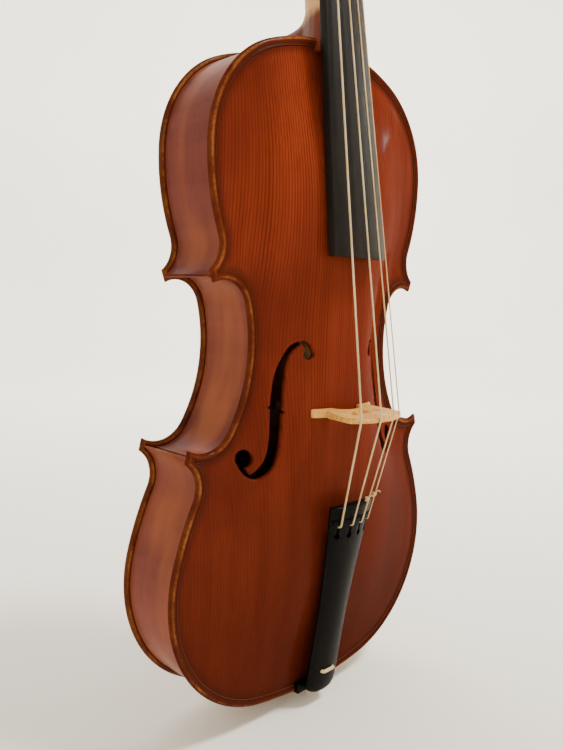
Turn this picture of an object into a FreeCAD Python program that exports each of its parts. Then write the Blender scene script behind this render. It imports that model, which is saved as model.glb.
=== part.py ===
import FreeCAD, Part
import math
import os

# Viola with a hollow arched body, four gut strings and friction pegs.
# Frame: the belly faces -Y, the back faces +Y, +X is the treble side, +Z points to the scroll.
# The origin is the middle of the end button's rim. Everything is in millimetres.

V = FreeCAD.Vector

# ---- driving dimensions -------------------------------------------------------------
BODY_LENGTH = 410.0
RIB_HEIGHT = 40.0
EDGE_THICKNESS = 4.0
OVERHANG = 3.0
RIB_THICKNESS = 1.3
LINING_THICKNESS = 2.2
LINING_HEIGHT = 8.0
BELLY_ARCH = 22.3
BACK_ARCH = 19.0
ARCH_LENGTH_POWER = 2.4
ARCH_CROSS_POWER = 1.6
PLATE_THICKNESS = 3.2
GLUE_BORDER = 8.0
CHANNEL_INSET = 7.0
PURFLING_INSET = 4.2
PURFLING_WIDTH = 1.3
PURFLING_DEPTH = 1.8

RIB_END_Z = 9.0
BODY_STOP = 222.0
NECK_STOP = 147.0
NECK_SLOPE = 0.1345
FINGERBOARD_RISE = 3.9

BRIDGE_WIDTH = 55.0
BRIDGE_FOOT_THICKNESS = 5.4
BRIDGE_TOP_THICKNESS = 1.9
STRING_HEIGHT_AT_BRIDGE = 75.8
STRING_SPREAD_BRIDGE = 40.5
STRING_SPREAD_NUT = 17.5
STRING_SPREAD_TAIL = 26.5
BRIDGE_CROWN_RADIUS = 40.0

FINGERBOARD_LENGTH = 276.0
FINGERBOARD_NUT_WIDTH = 25.0
FINGERBOARD_END_WIDTH = 47.0
FINGERBOARD_SIDE = 5.4
FINGERBOARD_RADIUS = 52.0
NUT_RISE = 0.9

TAILPIECE_LENGTH = 133.0
TAILPIECE_TOP_WIDTH = 40.0
TAILPIECE_END_WIDTH = 28.0
TAILPIECE_WAIST = 1.6
TAILPIECE_DEPTH = 8.2
TAILPIECE_THINNING = 3.4
TAIL_FRET_ALONG = 9.5
TAIL_SLOT_ALONG = 12.5
TAIL_GUT_ALONG = 117.0

PEGBOX_LENGTH = 74.0
PEGBOX_TILT = 14.0
SCROLL_ALONG = 97.0
SCROLL_FORWARD = 3.0
SCROLL_RADIUS = 21.5
SCROLL_RATIO = 0.875
PEG_RADIUS = 4.0
PEG_CLEARANCE = 0.05

# string name: (position across from bass to treble, radius)
STRINGS = {
    "c": (0, 0.62),
    "g": (1, 0.52),
    "d": (2, 0.44),
    "a": (3, 0.36),
}

# ---- derived places -----------------------------------------------------------------
FRONT_Y = -RIB_HEIGHT / 2
BACK_Y = RIB_HEIGHT / 2
BOTTOM_Z = RIB_END_Z - OVERHANG
TOP_Z = BOTTOM_Z + BODY_LENGTH
BRIDGE_Z = TOP_Z - BODY_STOP
NUT_Z = TOP_Z + NECK_STOP

# outline of the right half: (radius, sweep in degrees); a negative radius is concave
UPPER_BOUT = [(139.6, 23.2), (66.8, 65.2), (127.2, 22.6), (-17.2, 74.0)]
CENTRE_BOUT = [(-17.0, 101.6), (-92.5, 46.8), (-21.2, 89.0)]
LOWER_BOUT = [(266.9, 10.6), (83.1, 93.6), (191.4, 11.5), (-17.9, 81.3)]
UPPER_CORNER = (90.3, BOTTOM_Z + 263.1)
CENTRE_HEADING = 153.2
INSIDE_LEFT = 1
INSIDE_RIGHT = -1


# ---- outline ------------------------------------------------------------------------
def walk(start, heading, arcs, side, inset):
    """Follow tangent arcs, moved inwards by inset; side says where the inside lies."""
    angle = math.radians(heading)
    px = start[0] - side * inset * math.sin(angle)
    pz = start[1] + side * inset * math.cos(angle)
    edges = []
    for radius, sweep in arcs:
        convex = radius > 0
        turn = side if convex else -side
        r = radius - inset if convex else -radius + inset
        cx = px - turn * r * math.sin(angle)
        cz = pz + turn * r * math.cos(angle)
        points = []
        for part in (0.0, 0.5, 1.0):
            b = angle + turn * math.radians(sweep) * part
            points.append(V(cx + turn * r * math.sin(b), 0, cz - turn * r * math.cos(b)))
        edges.append(Part.Arc(*points).toShape())
        px, pz = points[2].x, points[2].z
        angle += turn * math.radians(sweep)
    return edges, V(px, 0, pz)


def bout(name, inset):
    """Edges and both ends of one right-hand bout, running downwards or upwards."""
    if name == "upper":
        start, heading, arcs, side = (0, TOP_Z), 0, UPPER_BOUT, INSIDE_RIGHT
    elif name == "centre":
        start, heading, arcs, side = UPPER_CORNER, CENTRE_HEADING, CENTRE_BOUT, INSIDE_RIGHT
    else:
        start, heading, arcs, side = (0, BOTTOM_Z), 0, LOWER_BOUT, INSIDE_LEFT
    edges, last = walk(start, heading, arcs, side, inset)
    first = edges[0].valueAt(edges[0].FirstParameter)
    return edges, first, last


def mirror_x(shape):
    return shape.mirror(V(0, 0, 0), V(1, 0, 0))


def prism(wire, y0, y1):
    face = Part.Face(wire)
    face.translate(V(0, y0, 0))
    return face.extrude(V(0, y1 - y0, 0))


def band(name, outer, inner, y0, y1):
    """Right-hand strip of one bout between two insets."""
    out_edges, out_first, out_last = bout(name, outer)
    in_edges, in_first, in_last = bout(name, inner)
    ends = [
        Part.makeLine(out_last, in_last),
        Part.makeLine(in_first, out_first),
    ]
    wire = Part.Wire(Part.__sortEdges__(out_edges + in_edges + ends))
    return prism(wire, y0, y1)


def outline_wire():
    upper, top, upper_end = bout("upper", 0)
    centre, centre_start, centre_end = bout("centre", 0)
    lower, bottom, lower_end = bout("lower", 0)
    right = upper + [Part.makeLine(upper_end, centre_start)] + centre
    right += [Part.makeLine(centre_end, lower_end)] + lower
    left = [mirror_x(edge) for edge in right]
    return Part.Wire(Part.__sortEdges__(right + left))


def corner_frame(name):
    """Middle of a corner's end and the direction in which the corner points."""
    if name == "upper":
        a, b = bout("upper", 0)[2], bout("centre", 0)[1]
    else:
        a, b = bout("centre", 0)[2], bout("lower", 0)[2]
    middle = (a + b) * 0.5
    across = b - a
    across.normalize()
    out = V(-across.z, 0, across.x)
    if out.x < 0:
        out = out * -1
    return middle, out


def half_space(name, above):
    """Large block on one side of a corner's mitre line, over the whole right half."""
    middle, out = corner_frame(name)
    up = V(-out.z, 0, out.x)
    if up.z < 0:
        up = up * -1
    deep = 600 if above else -600
    far = 300
    corners = [
        middle + out * far,
        middle - out * far,
        middle - out * far + up * deep,
        middle + out * far + up * deep,
    ]
    return prism(Part.makePolygon(corners + [corners[0]]), -100, 100)


def mitred_band(name, outer, inner, y0, y1):
    strip = band(name, outer, inner, y0, y1)
    if name == "upper":
        return strip.common(half_space("upper", True))
    if name == "lower":
        return strip.common(half_space("lower", False))
    strip = strip.common(half_space("upper", False))
    return strip.common(half_space("lower", True))


# ---- arching ------------------------------------------------------------------------
def sample_bout(name, inset):
    edges = bout(name, inset)[0]
    points = []
    for edge in edges[:3]:
        points += edge.discretize(14)
    return points


UPPER_POINTS = sample_bout("upper", CHANNEL_INSET)
LOWER_POINTS = sample_bout("lower", CHANNEL_INSET)
CENTRE_POINTS = sample_bout("centre", CHANNEL_INSET)
UPPER_WIDEST = max(UPPER_POINTS, key=lambda p: p.x)
LOWER_WIDEST = max(LOWER_POINTS, key=lambda p: p.x)
WAIST = min(CENTRE_POINTS, key=lambda p: p.x)


def interpolate(points, z):
    for a, b in zip(points, points[1:]):
        if min(a.z, b.z) <= z <= max(a.z, b.z) and abs(a.z - b.z) > 1e-6:
            return a.x + (b.x - a.x) * (z - a.z) / (b.z - a.z)
    return 0.0


def ease(a, b, t):
    return a + (b - a) * (1 - math.cos(math.pi * t)) / 2


def half_width(z):
    """Half width of the arched area, passing smoothly over the corners."""
    if z >= UPPER_WIDEST.z:
        return interpolate(UPPER_POINTS, z)
    if z <= LOWER_WIDEST.z:
        return interpolate(LOWER_POINTS, z)
    if z >= WAIST.z:
        t = (z - WAIST.z) / (UPPER_WIDEST.z - WAIST.z)
        return ease(WAIST.x, UPPER_WIDEST.x, t)
    t = (z - LOWER_WIDEST.z) / (WAIST.z - LOWER_WIDEST.z)
    return ease(LOWER_WIDEST.x, WAIST.x, t)


def arch_height(x, z, arch):
    """Height of a plate's outer surface over its gluing plane."""
    middle = (TOP_Z + BOTTOM_Z) / 2
    t = abs(z - middle) / (BODY_LENGTH / 2 - CHANNEL_INSET)
    width = half_width(z)
    if t >= 1 or width <= abs(x):
        return EDGE_THICKNESS
    along = (1 + math.cos(math.pi * t ** ARCH_LENGTH_POWER)) / 2
    across = (1 + math.cos(math.pi * (abs(x) / width) ** ARCH_CROSS_POWER)) / 2
    return EDGE_THICKNESS + (arch - EDGE_THICKNESS) * along * across


def under_surface(arch, side, lower, base):
    """Solid from the plane y = base out to the arched surface lowered by lower."""
    columns = 33
    rows = 57
    reach_x = 132.0
    reach_z = 12.0
    grid = []
    for i in range(columns):
        x = -reach_x + 2 * reach_x * i / (columns - 1)
        line = []
        for j in range(rows):
            z = BOTTOM_Z - reach_z + (BODY_LENGTH + 2 * reach_z) * j / (rows - 1)
            height = arch_height(x, z, arch) - lower
            line.append(V(x, side * (RIB_HEIGHT / 2 + height), z))
        grid.append(line)
    surface = Part.BSplineSurface()
    surface.interpolate(grid)
    inward = V(0, -side * 60, 0)
    solid = surface.toShape().extrude(inward)
    keep = Part.makeBox(400, 100, 600, V(-200, base if side > 0 else base - 100, -50))
    return solid.common(keep)


# ---- body ---------------------------------------------------------------------------
def border(outer, inner, y0, y1):
    strips = []
    for name in ("upper", "centre", "lower"):
        strip = band(name, outer, inner, y0, y1)
        strips += [strip, mirror_x(strip)]
    return strips


def make_blocks():
    """Corner, top and end blocks, shaped to the ribs' inner faces."""
    inner = OVERHANG + RIB_THICKNESS
    tall = (-60, 60)
    strips = border(-8, inner, *tall)
    blocks = {}
    for name in ("upper", "lower"):
        middle, out = corner_frame(name)
        across = V(-out.z, 0, out.x)
        deep = middle - out * 30
        corners = [middle + out * 4, deep + across * 15, deep - across * 15]
        block = prism(Part.makePolygon(corners + [corners[0]]), *tall)
        for strip in strips:
            block = block.cut(strip)
        block = biggest(block)
        blocks[name + "_corner_block_treble"] = block
        blocks[name + "_corner_block_bass"] = mirror_x(block)
    for name, z0, z1 in (("top_block", TOP_Z - 24, TOP_Z + 2), ("end_block", BOTTOM_Z - 2, BOTTOM_Z + 21)):
        half = 28
        corners = [V(-half, 0, z0), V(half, 0, z0), V(half, 0, z1), V(-half, 0, z1)]
        block = prism(Part.makePolygon(corners + [corners[0]]), *tall)
        for strip in strips:
            block = block.cut(strip)
        blocks[name] = biggest(block)
    return blocks


def biggest(shape):
    return max(shape.Solids, key=lambda solid: solid.Volume)


def between(shape, y0, y1):
    keep = Part.makeBox(400, y1 - y0, 900, V(-200, y0, -100))
    return shape.common(keep)


def make_ribs():
    ribs = {}
    for name in ("upper", "centre", "lower"):
        strip = biggest(mitred_band(name, OVERHANG, OVERHANG + RIB_THICKNESS, FRONT_Y, BACK_Y))
        ribs[name + "_rib_treble"] = strip
        ribs[name + "_rib_bass"] = mirror_x(strip)
    return ribs


def make_linings(blocks, front):
    """Six strips that widen the gluing edge of the ribs."""
    inner = OVERHANG + RIB_THICKNESS
    y0 = FRONT_Y if front else BACK_Y - LINING_HEIGHT
    strips = []
    for name in ("upper", "centre", "lower"):
        strip = band(name, inner, inner + LINING_THICKNESS, y0, y0 + LINING_HEIGHT)
        for block in blocks.values():
            strip = strip.cut(block)
        strip = biggest(strip)
        strips += [strip, mirror_x(strip)]
    return Part.makeCompound(strips)


def purfling_grooves(side):
    """Grooves that follow the outline, open at the plate's outer face."""
    surface = side * (RIB_HEIGHT / 2 + EDGE_THICKNESS)
    y0, y1 = sorted((surface + side * 2, surface - side * PURFLING_DEPTH))
    inner = PURFLING_INSET + PURFLING_WIDTH
    strips = []
    for name in ("upper", "centre", "lower"):
        strip = biggest(mitred_band(name, PURFLING_INSET, inner, y0, y1))
        strips += [strip, mirror_x(strip)]
    return strips


def sound_hole():
    """Right-hand f-shaped hole as a prism through the belly."""
    z0 = BOTTOM_Z
    outer = [(26.4, 225.6), (28.4, 229.4), (32.5, 231.0), (38.2, 228.6), (42.8, 221.5), (46.9, 211.0),
             (49.6, 198.0), (51.3, 184.5), (53.3, 171.5), (56.2, 162.8), (60.4, 157.6), (65.3, 153.8)]
    inner = [(72.6, 160.8), (71.0, 157.4), (68.0, 153.6), (62.4, 151.2), (56.6, 152.6), (51.6, 156.8),
             (48.4, 163.4), (45.8, 174.0), (43.9, 187.0), (42.2, 200.0), (40.4, 213.6), (38.0, 223.0),
             (32.6, 229.3)]
    first = [V(x, 0, z0 + z) for x, z in outer]
    second = [V(x, 0, z0 + z) for x, z in inner]
    edges = []
    for points in (first, second):
        curve = Part.BSplineCurve()
        curve.interpolate(points)
        edges.append(curve.toShape())
    lower_wing = V(67.5, 0, z0 + 158.6)
    upper_wing = V(29.6, 0, z0 + 225.6)
    corners = [first[-1], lower_wing, second[0]], [second[-1], upper_wing, first[0]]
    for run in corners:
        edges.append(Part.makeLine(run[0], run[1]))
        edges.append(Part.makeLine(run[1], run[2]))
    stem = prism(Part.Wire(Part.__sortEdges__(edges)), -60, FRONT_Y + 2)
    hole = stem
    for x, z, r in ((28.5, 223.2, 3.2), (68.0, 163.2, 5.4)):
        eye = Part.makeCylinder(r, 62 + FRONT_Y, V(x, -60, z0 + z), V(0, 1, 0))
        hole = hole.fuse(eye)
    return hole


def inlay(plate, grooves):
    """Plate with its grooves cut, and the strips that fill them."""
    strips = [biggest(plate.common(groove)) for groove in grooves]
    for groove in grooves:
        plate = plate.cut(groove)
    return biggest(plate), Part.makeCompound(strips)


def make_plate(arch, side, blocks):
    base = side * RIB_HEIGHT / 2
    body = prism(outline_wire(), *((base, base + side * 40) if side > 0 else (base - 40, base)))
    plate = body.common(under_surface(arch, side, 0, base))
    hollow = under_surface(arch, side, PLATE_THICKNESS, base - side * 2)
    core = prism(outline_wire(), -60, 60)
    for strip in border(-2, GLUE_BORDER, -60, 60):
        core = core.cut(strip)
    core = biggest(core)
    for block in blocks.values():
        core = core.cut(block)
    plate = plate.cut(hollow.common(biggest(core)))
    return biggest(plate)


def make_back_button():
    """Rounded tab at the top of the back that holds the heel."""
    tab = Part.makeCylinder(11.5, EDGE_THICKNESS, V(0, BACK_Y, TOP_Z + 1), V(0, 1, 0))
    keep = Part.makeBox(40, 40, 30, V(-20, 0, TOP_Z - PURFLING_INSET + 0.5))
    return tab.common(keep)


def make_bass_bar(belly_block):
    """Tapered spruce bar that stands on the inside of the belly under the bass foot."""
    half = 150.0
    z_mid = BRIDGE_Z + 8
    profile = [V(0, -50, z_mid - half), V(0, FRONT_Y - 4, z_mid - half),
               V(0, FRONT_Y - 1, z_mid), V(0, FRONT_Y - 4, z_mid + half), V(0, -50, z_mid + half)]
    face = Part.Face(Part.makePolygon(profile + [profile[0]]))
    bar = face.extrude(V(6, 0, 0))
    bar.translate(V(-21, 0, 0))
    return biggest(bar.common(belly_block))


def make_sound_post(cavity_front, cavity_back):
    post = Part.makeCylinder(3.1, 90, V(19.5, -45, BRIDGE_Z - 9), V(0, 1, 0))
    front = post.common(cavity_front)
    back = post.common(cavity_back)
    middle = between(post, FRONT_Y, BACK_Y)
    return front.fuse([middle, back]).removeSplitter()


# ---- neck and head ------------------------------------------------------------------
def neck_line(z):
    """y of the fingerboard's underside at height z."""
    return FRONT_Y - EDGE_THICKNESS - FINGERBOARD_RISE + NECK_SLOPE * (z - TOP_Z)


def fingerboard_width(z):
    t = (NUT_Z - z) / FINGERBOARD_LENGTH
    return FINGERBOARD_NUT_WIDTH + (FINGERBOARD_END_WIDTH - FINGERBOARD_NUT_WIDTH) * t


def d_section(z, width, depth):
    """Closed wire of the neck's shaft: flat in front, round behind."""
    y = neck_line(z)
    left = V(-width / 2, y, z)
    right = V(width / 2, y, z)
    low_left = V(-width / 2, y + 3, z)
    low_right = V(width / 2, y + 3, z)
    deepest = V(0, y + depth, z)
    curve = Part.BSplineCurve()
    side = V(width * 0.41, y + depth * 0.62, z)
    mirror_side = V(-side.x, side.y, z)
    curve.interpolate([low_right, side, deepest, mirror_side, low_left])
    edges = [Part.makeLine(low_left, left), Part.makeLine(left, right),
             Part.makeLine(right, low_right), curve.toShape()]
    return Part.Wire(Part.__sortEdges__(edges))


def make_neck_shaft():
    sections = []
    for z, depth in ((TOP_Z + 14, 22.5), (TOP_Z + 70, 20.5), (NUT_Z - 4, 19.0), (NUT_Z + 5, 19.0)):
        sections.append(d_section(z, fingerboard_width(min(z, NUT_Z)) - 1.0, depth))
    return Part.makeLoft(sections, True, False)


def make_heel():
    """Heel that swells from the shaft and runs out to the back's button."""
    root = TOP_Z - 9
    rise = TOP_Z + 32
    y_front = neck_line(root)
    y_rise = neck_line(rise)
    start = V(0, y_rise + 14, rise)
    tip = V(0, BACK_Y, TOP_Z + 12.2)
    curve = Part.BSplineCurve()
    curve.interpolate([start, V(0, -7.5, TOP_Z + 21), V(0, -3.0, TOP_Z + 15.6), V(0, 5.0, TOP_Z + 13.2), tip])
    edges = [
        Part.makeLine(V(0, y_front, root), V(0, y_rise, rise)),
        Part.makeLine(V(0, y_rise, rise), start),
        curve.toShape(),
        Part.makeLine(tip, V(0, BACK_Y, root)),
        Part.makeLine(V(0, BACK_Y, root), V(0, y_front, root)),
    ]
    side_view = Part.Face(Part.Wire(edges)).extrude(V(60, 0, 0))
    side_view.translate(V(-30, 0, 0))
    front = fingerboard_width(TOP_Z) / 2 - 0.5
    right = [(front, -60), (front, y_front + 4), (13.0, -12), (11.4, BACK_Y)]
    corners = [V(x, y, root) for x, y in right]
    corners += [V(-x, y, root) for x, y in reversed(right)]
    taper = Part.Face(Part.makePolygon(corners + [corners[0]])).extrude(V(0, 0, 90))
    return side_view.common(taper)


def head_tilt():
    return math.atan(NECK_SLOPE) + math.radians(PEGBOX_TILT)


def head_point(along, forward):
    """Point in the head's tilted frame: along the pegbox, and out of its open side."""
    tilt = head_tilt()
    y0 = neck_line(NUT_Z) - 1.0
    y = y0 + along * math.sin(tilt) - forward * math.cos(tilt)
    z = NUT_Z + 5 + along * math.cos(tilt) + forward * math.sin(tilt)
    return V(0, y, z)


def head_rectangle(along, width, front, back):
    corners = []
    for x, forward in ((-1, front), (1, front), (1, back), (-1, back)):
        point = head_point(along, forward)
        corners.append(V(x * width / 2, point.y, point.z))
    return Part.makePolygon(corners + [corners[0]])


def make_pegbox():
    outer = Part.makeLoft([
        head_rectangle(-5, 25.5, 0, -19.5),
        head_rectangle(PEGBOX_LENGTH * 0.5, 25.0, 0, -19.0),
        head_rectangle(PEGBOX_LENGTH + 8, 19.0, -3, -17.6),
        head_rectangle(SCROLL_ALONG + 0.6, 14.2, -10, -18.2),
    ], True, True)
    hollow = Part.makeLoft([
        head_rectangle(4, 15.0, 5, -13.4),
        head_rectangle(PEGBOX_LENGTH * 0.5, 14.0, 5, -14.8),
        head_rectangle(PEGBOX_LENGTH - 2, 10.5, 5, -13.6),
    ], True, True)
    return outer.cut(hollow)


def make_scroll():
    """Volute in stepped layers; each layer starts half a turn later and stands wider."""
    quarter = 90.0
    radii = [SCROLL_RADIUS * SCROLL_RATIO ** k for k in range(12)]
    arcs = [(radius, quarter) for radius in radii]
    scroll = None
    start = (-SCROLL_RADIUS, 0.0)
    heading = 90.0
    for layer, half in enumerate((7.0, 10.5, 14.5, 18.0, 20.5)):
        edges, end = walk(start, heading, arcs[2 * layer:2 * layer + 4], INSIDE_RIGHT, 0.35 * layer)
        first = edges[0].valueAt(edges[0].FirstParameter)
        wire = Part.Wire(edges + [Part.makeLine(end, first)])
        solid = Part.Face(wire).extrude(V(0, 2 * half, 0))
        solid.translate(V(0, -half, 0))
        scroll = solid if scroll is None else scroll.fuse(solid)
        half_turn = walk(start, heading, arcs[2 * layer:2 * layer + 2], INSIDE_RIGHT, 0)[1]
        start = (half_turn.x, half_turn.z)
        heading -= 2 * quarter
    scroll.rotate(V(0, 0, 0), V(0, 0, 1), -90)
    scroll.rotate(V(0, 0, 0), V(1, 0, 0), -math.degrees(head_tilt()))
    scroll.translate(head_point(SCROLL_ALONG, SCROLL_FORWARD))
    return scroll


PEG_PLACES = {"c": (13.0, -1), "a": (28.5, 1), "g": (44.0, -1), "d": (59.0, 1)}
PEG_DEPTH = -7.6


def peg_cone(along, side, extra):
    """Tapered shaft of a peg, from its head side through both cheeks."""
    point = head_point(along, PEG_DEPTH)
    start = V(side * 17.5, point.y, point.z)
    length = 33.0
    return Part.makeCone(PEG_RADIUS + 0.25 + extra, PEG_RADIUS - 0.55 + extra, length, start, V(-side, 0, 0))


def make_peg(along, side):
    """Tapered shank, turned collar, flat oval thumb piece and a small pin at its end."""
    point = head_point(along, PEG_DEPTH)
    axis = V(1, 0, 0)
    shaft = peg_cone(along, 1, 0)
    collar = Part.makeCylinder(5.6, 2.4, V(17.5, point.y, point.z), axis)
    stem = Part.makeCone(4.6, 3.0, 5.0, V(19.9, point.y, point.z), axis)
    wing = Part.makeSphere(1.0)
    matrix = FreeCAD.Matrix()
    matrix.scale(V(11.0, 3.4, 9.5))
    wing = wing.transformGeometry(matrix)
    wing.rotate(V(0, 0, 0), V(1, 0, 0), 20)
    wing.translate(V(33.0, point.y, point.z))
    pin = Part.makeSphere(1.7, V(44.6, point.y, point.z))
    peg = shaft.fuse([collar, stem, wing, pin]).removeSplitter()
    return peg if side > 0 else mirror_x(peg)


# ---- strings ------------------------------------------------------------------------
def crown(x, radius, top):
    """Height loss of an arc of the given radius at x."""
    return top + radius - math.sqrt(radius * radius - x * x)


def string_x(index, spread):
    return -spread / 2 + spread * index / 3


def bridge_point(index):
    x = string_x(index, STRING_SPREAD_BRIDGE)
    treble_drop = 1.3 * (index - 1.5) / 1.5
    return V(x, crown(x, BRIDGE_CROWN_RADIUS, -STRING_HEIGHT_AT_BRIDGE) + treble_drop, BRIDGE_Z)


def board_crest(z):
    """y of the playing surface's highest line."""
    half = fingerboard_width(z) / 2
    return neck_line(z) - FINGERBOARD_SIDE - crown(half, FINGERBOARD_RADIUS, 0)


def nut_top(x):
    return crown(x, FINGERBOARD_RADIUS, board_crest(NUT_Z) - NUT_RISE)


def nut_point(index):
    x = string_x(index, STRING_SPREAD_NUT)
    return V(x, nut_top(x), NUT_Z + 2.0)


def tail_point(index):
    """Where a string meets the tailpiece's front."""
    x = string_x(index, STRING_SPREAD_TAIL)
    point = tail_frame(x, TAIL_SLOT_ALONG)
    return V(x, point.y - 0.9, point.z)


def rounded_path(points, radii):
    """Straight runs joined by tangent arcs."""
    edges = []
    last = points[0]
    for before, corner, after, radius in zip(points, points[1:], points[2:], radii):
        a = before - corner
        b = after - corner
        a.normalize()
        b.normalize()
        half = a.getAngle(b) / 2
        reach = radius / math.tan(half)
        start = corner + a * reach
        end = corner + b * reach
        bisector = a + b
        bisector.normalize()
        middle = corner + bisector * (radius / math.sin(half) - radius)
        edges.append(Part.LineSegment(last, start).toShape())
        edges.append(Part.Arc(start, middle, end).toShape())
        last = end
    edges.append(Part.LineSegment(last, points[-1]).toShape())
    return Part.Wire(edges)


def sweep_round(path, radius):
    start = path.Edges[0]
    point = start.valueAt(start.FirstParameter)
    direction = start.tangentAt(start.FirstParameter)
    circle = Part.Wire(Part.Circle(point, direction, radius).toShape())
    return path.makePipeShell([circle], True, False)


def make_string(name):
    index, radius = STRINGS[name]
    along, side = PEG_PLACES[name]
    peg = head_point(along, PEG_DEPTH)
    winding = PEG_RADIUS + 0.25 + 3 * radius
    nut = nut_point(index)
    nut = V(nut.x, nut.y - radius, nut.z)
    bridge = bridge_point(index)
    bridge = V(bridge.x, bridge.y - radius, bridge.z)
    tail = tail_point(index)
    into = tail_frame(tail.x, TAIL_SLOT_ALONG + 1.2)
    end = V(tail.x, into.y + 7.0, into.z - 1.0)
    x_peg = string_x(index, 10.0)
    reach = head_point(along, PEG_DEPTH + winding)
    peg_end = V(x_peg, reach.y, reach.z - 2.0)
    tail_start = V(tail.x, tail.y - radius, tail.z)
    path = rounded_path([peg_end, nut, bridge, tail_start, end], [5.0, 7.0, 1.6])
    return sweep_round(path, radius)


def string_winding(name):
    """Turns of string wound on the peg inside the pegbox."""
    index, radius = STRINGS[name]
    along, side = PEG_PLACES[name]
    point = head_point(along, PEG_DEPTH)
    x = string_x(index, 10.0)
    outer = PEG_RADIUS - 0.2 + 2 * radius
    width = 5 * radius
    start = V(x - width / 2, point.y, point.z)
    sleeve = Part.makeCylinder(outer, width, start, V(1, 0, 0))
    return sleeve.cut(peg_cone(along, side, 0))


# ---- fittings -----------------------------------------------------------------------
def board_section(z):
    width = fingerboard_width(z)
    under = neck_line(z)
    edge = under - FINGERBOARD_SIDE
    a, b = V(-width / 2, under, z), V(width / 2, under, z)
    c, d = V(width / 2, edge, z), V(-width / 2, edge, z)
    edges = [Part.makeLine(d, a), Part.makeLine(a, b), Part.makeLine(b, c),
             Part.Arc(c, V(0, board_crest(z), z), d).toShape()]
    return Part.Wire(edges)


def make_fingerboard():
    return Part.makeLoft([board_section(NUT_Z - FINGERBOARD_LENGTH), board_section(NUT_Z)], True, True)


def make_nut():
    width = FINGERBOARD_NUT_WIDTH
    y = neck_line(NUT_Z)
    z = NUT_Z
    a, b = V(-width / 2, y, z), V(width / 2, y, z)
    side = nut_top(width / 2) - 0.1
    c, d = V(width / 2, side, z), V(-width / 2, side, z)
    edges = [Part.makeLine(d, a), Part.makeLine(a, b), Part.makeLine(b, c),
             Part.Arc(c, V(0, nut_top(0) - 0.5, z), d).toShape()]
    return Part.Face(Part.Wire(edges)).extrude(V(0, 0, 4.0))


def make_bridge(belly_solid):
    """Maple bridge: two feet, an arch, side notches, a heart and a curved crown."""
    half = BRIDGE_WIDTH / 2
    foot = -(RIB_HEIGHT / 2 + BELLY_ARCH) + 8
    knee = FRONT_Y - BELLY_ARCH
    top = -STRING_HEIGHT_AT_BRIDGE
    crown_half = STRING_SPREAD_BRIDGE / 2 + 4.5
    crown_side = crown(crown_half, BRIDGE_CROWN_RADIUS, top)
    z = BRIDGE_Z - BRIDGE_FOOT_THICKNESS / 2
    right = [(7.0, knee - 5.6), (9.6, knee - 3.2), (11.8, knee - 1.6), (12.0, foot),
             (half, foot), (half, knee + 0.6), (half - 2.5, knee - 1.6), (19.6, knee - 2.6),
             (19.0, knee - 4.2), (20.2, knee - 5.0),
             (crown_half, crown_side + 3.0), (crown_half, crown_side)]
    points = [V(x, y, z) for x, y in right]
    lines = [Part.makeLine(a, b) for a, b in zip(points, points[1:])]
    left = [mirror_x(edge) for edge in lines]
    arch = Part.Arc(points[0], V(0, knee - 7.2, z), V(-points[0].x, points[0].y, z)).toShape()
    last = points[-1]
    crown_arc = Part.Arc(last, V(0, top - 0.05, z), V(-last.x, last.y, z)).toShape()
    wire = Part.Wire(Part.__sortEdges__(lines + left + [arch, crown_arc]))
    plate = Part.Face(wire).extrude(V(0, 0, BRIDGE_FOOT_THICKNESS))
    heart = Part.makeCylinder(3.0, 12, V(0, knee - 14.5, z - 2), V(0, 0, 1))
    kidneys = [Part.makeCylinder(2.0, 12, V(x, knee - 17.0, z - 2), V(0, 0, 1)) for x in (-11.5, 11.5)]
    plate = plate.cut(heart).cut(kidneys[0]).cut(kidneys[1])
    zs = z + BRIDGE_TOP_THICKNESS + 0.6
    wedge = Part.makePolygon([V(0, top - 4, zs), V(0, knee - 1.0, z + BRIDGE_FOOT_THICKNESS),
                              V(0, knee - 1.0, z + 12), V(0, top - 4, z + 12), V(0, top - 4, zs)])
    slope = Part.Face(wedge).extrude(V(120, 0, 0))
    slope.translate(V(-60, 0, 0))
    return biggest(plate.cut(slope).cut(belly_solid))


def tail_frame(x, along):
    """Point on the tailpiece's front surface; along is measured from its top end."""
    top = V(0, -57.5, BRIDGE_Z - 57.0)
    low = V(0, -34.4, BRIDGE_Z - 57.0 - TAILPIECE_LENGTH * 0.985)
    t = along / TAILPIECE_LENGTH
    width = tail_width(along)
    sag = 6.0 * (1 - 0.35 * t) * (x / (width / 2)) ** 2 * 0.8
    return V(x, top.y + (low.y - top.y) * t + sag, top.z + (low.z - top.z) * t)


def tail_width(along):
    t = along / TAILPIECE_LENGTH
    flare = (TAILPIECE_TOP_WIDTH - TAILPIECE_END_WIDTH) * (1 - t) ** 2.6
    return TAILPIECE_END_WIDTH + flare - TAILPIECE_WAIST * math.sin(math.pi * t) ** 2


def tail_section(along):
    half = tail_width(along) / 2
    middle = tail_frame(0, along)
    edge = tail_frame(half, along)
    under = middle.y + TAILPIECE_DEPTH - TAILPIECE_THINNING * along / TAILPIECE_LENGTH
    a, b = V(-half, edge.y, edge.z), V(half, edge.y, edge.z)
    c, d = V(half - 1.0, under, edge.z), V(-half + 1.0, under, edge.z)
    edges = [Part.Arc(a, middle, b).toShape(), Part.makeLine(b, c), Part.makeLine(c, d), Part.makeLine(d, a)]
    return Part.Wire(edges)


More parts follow.
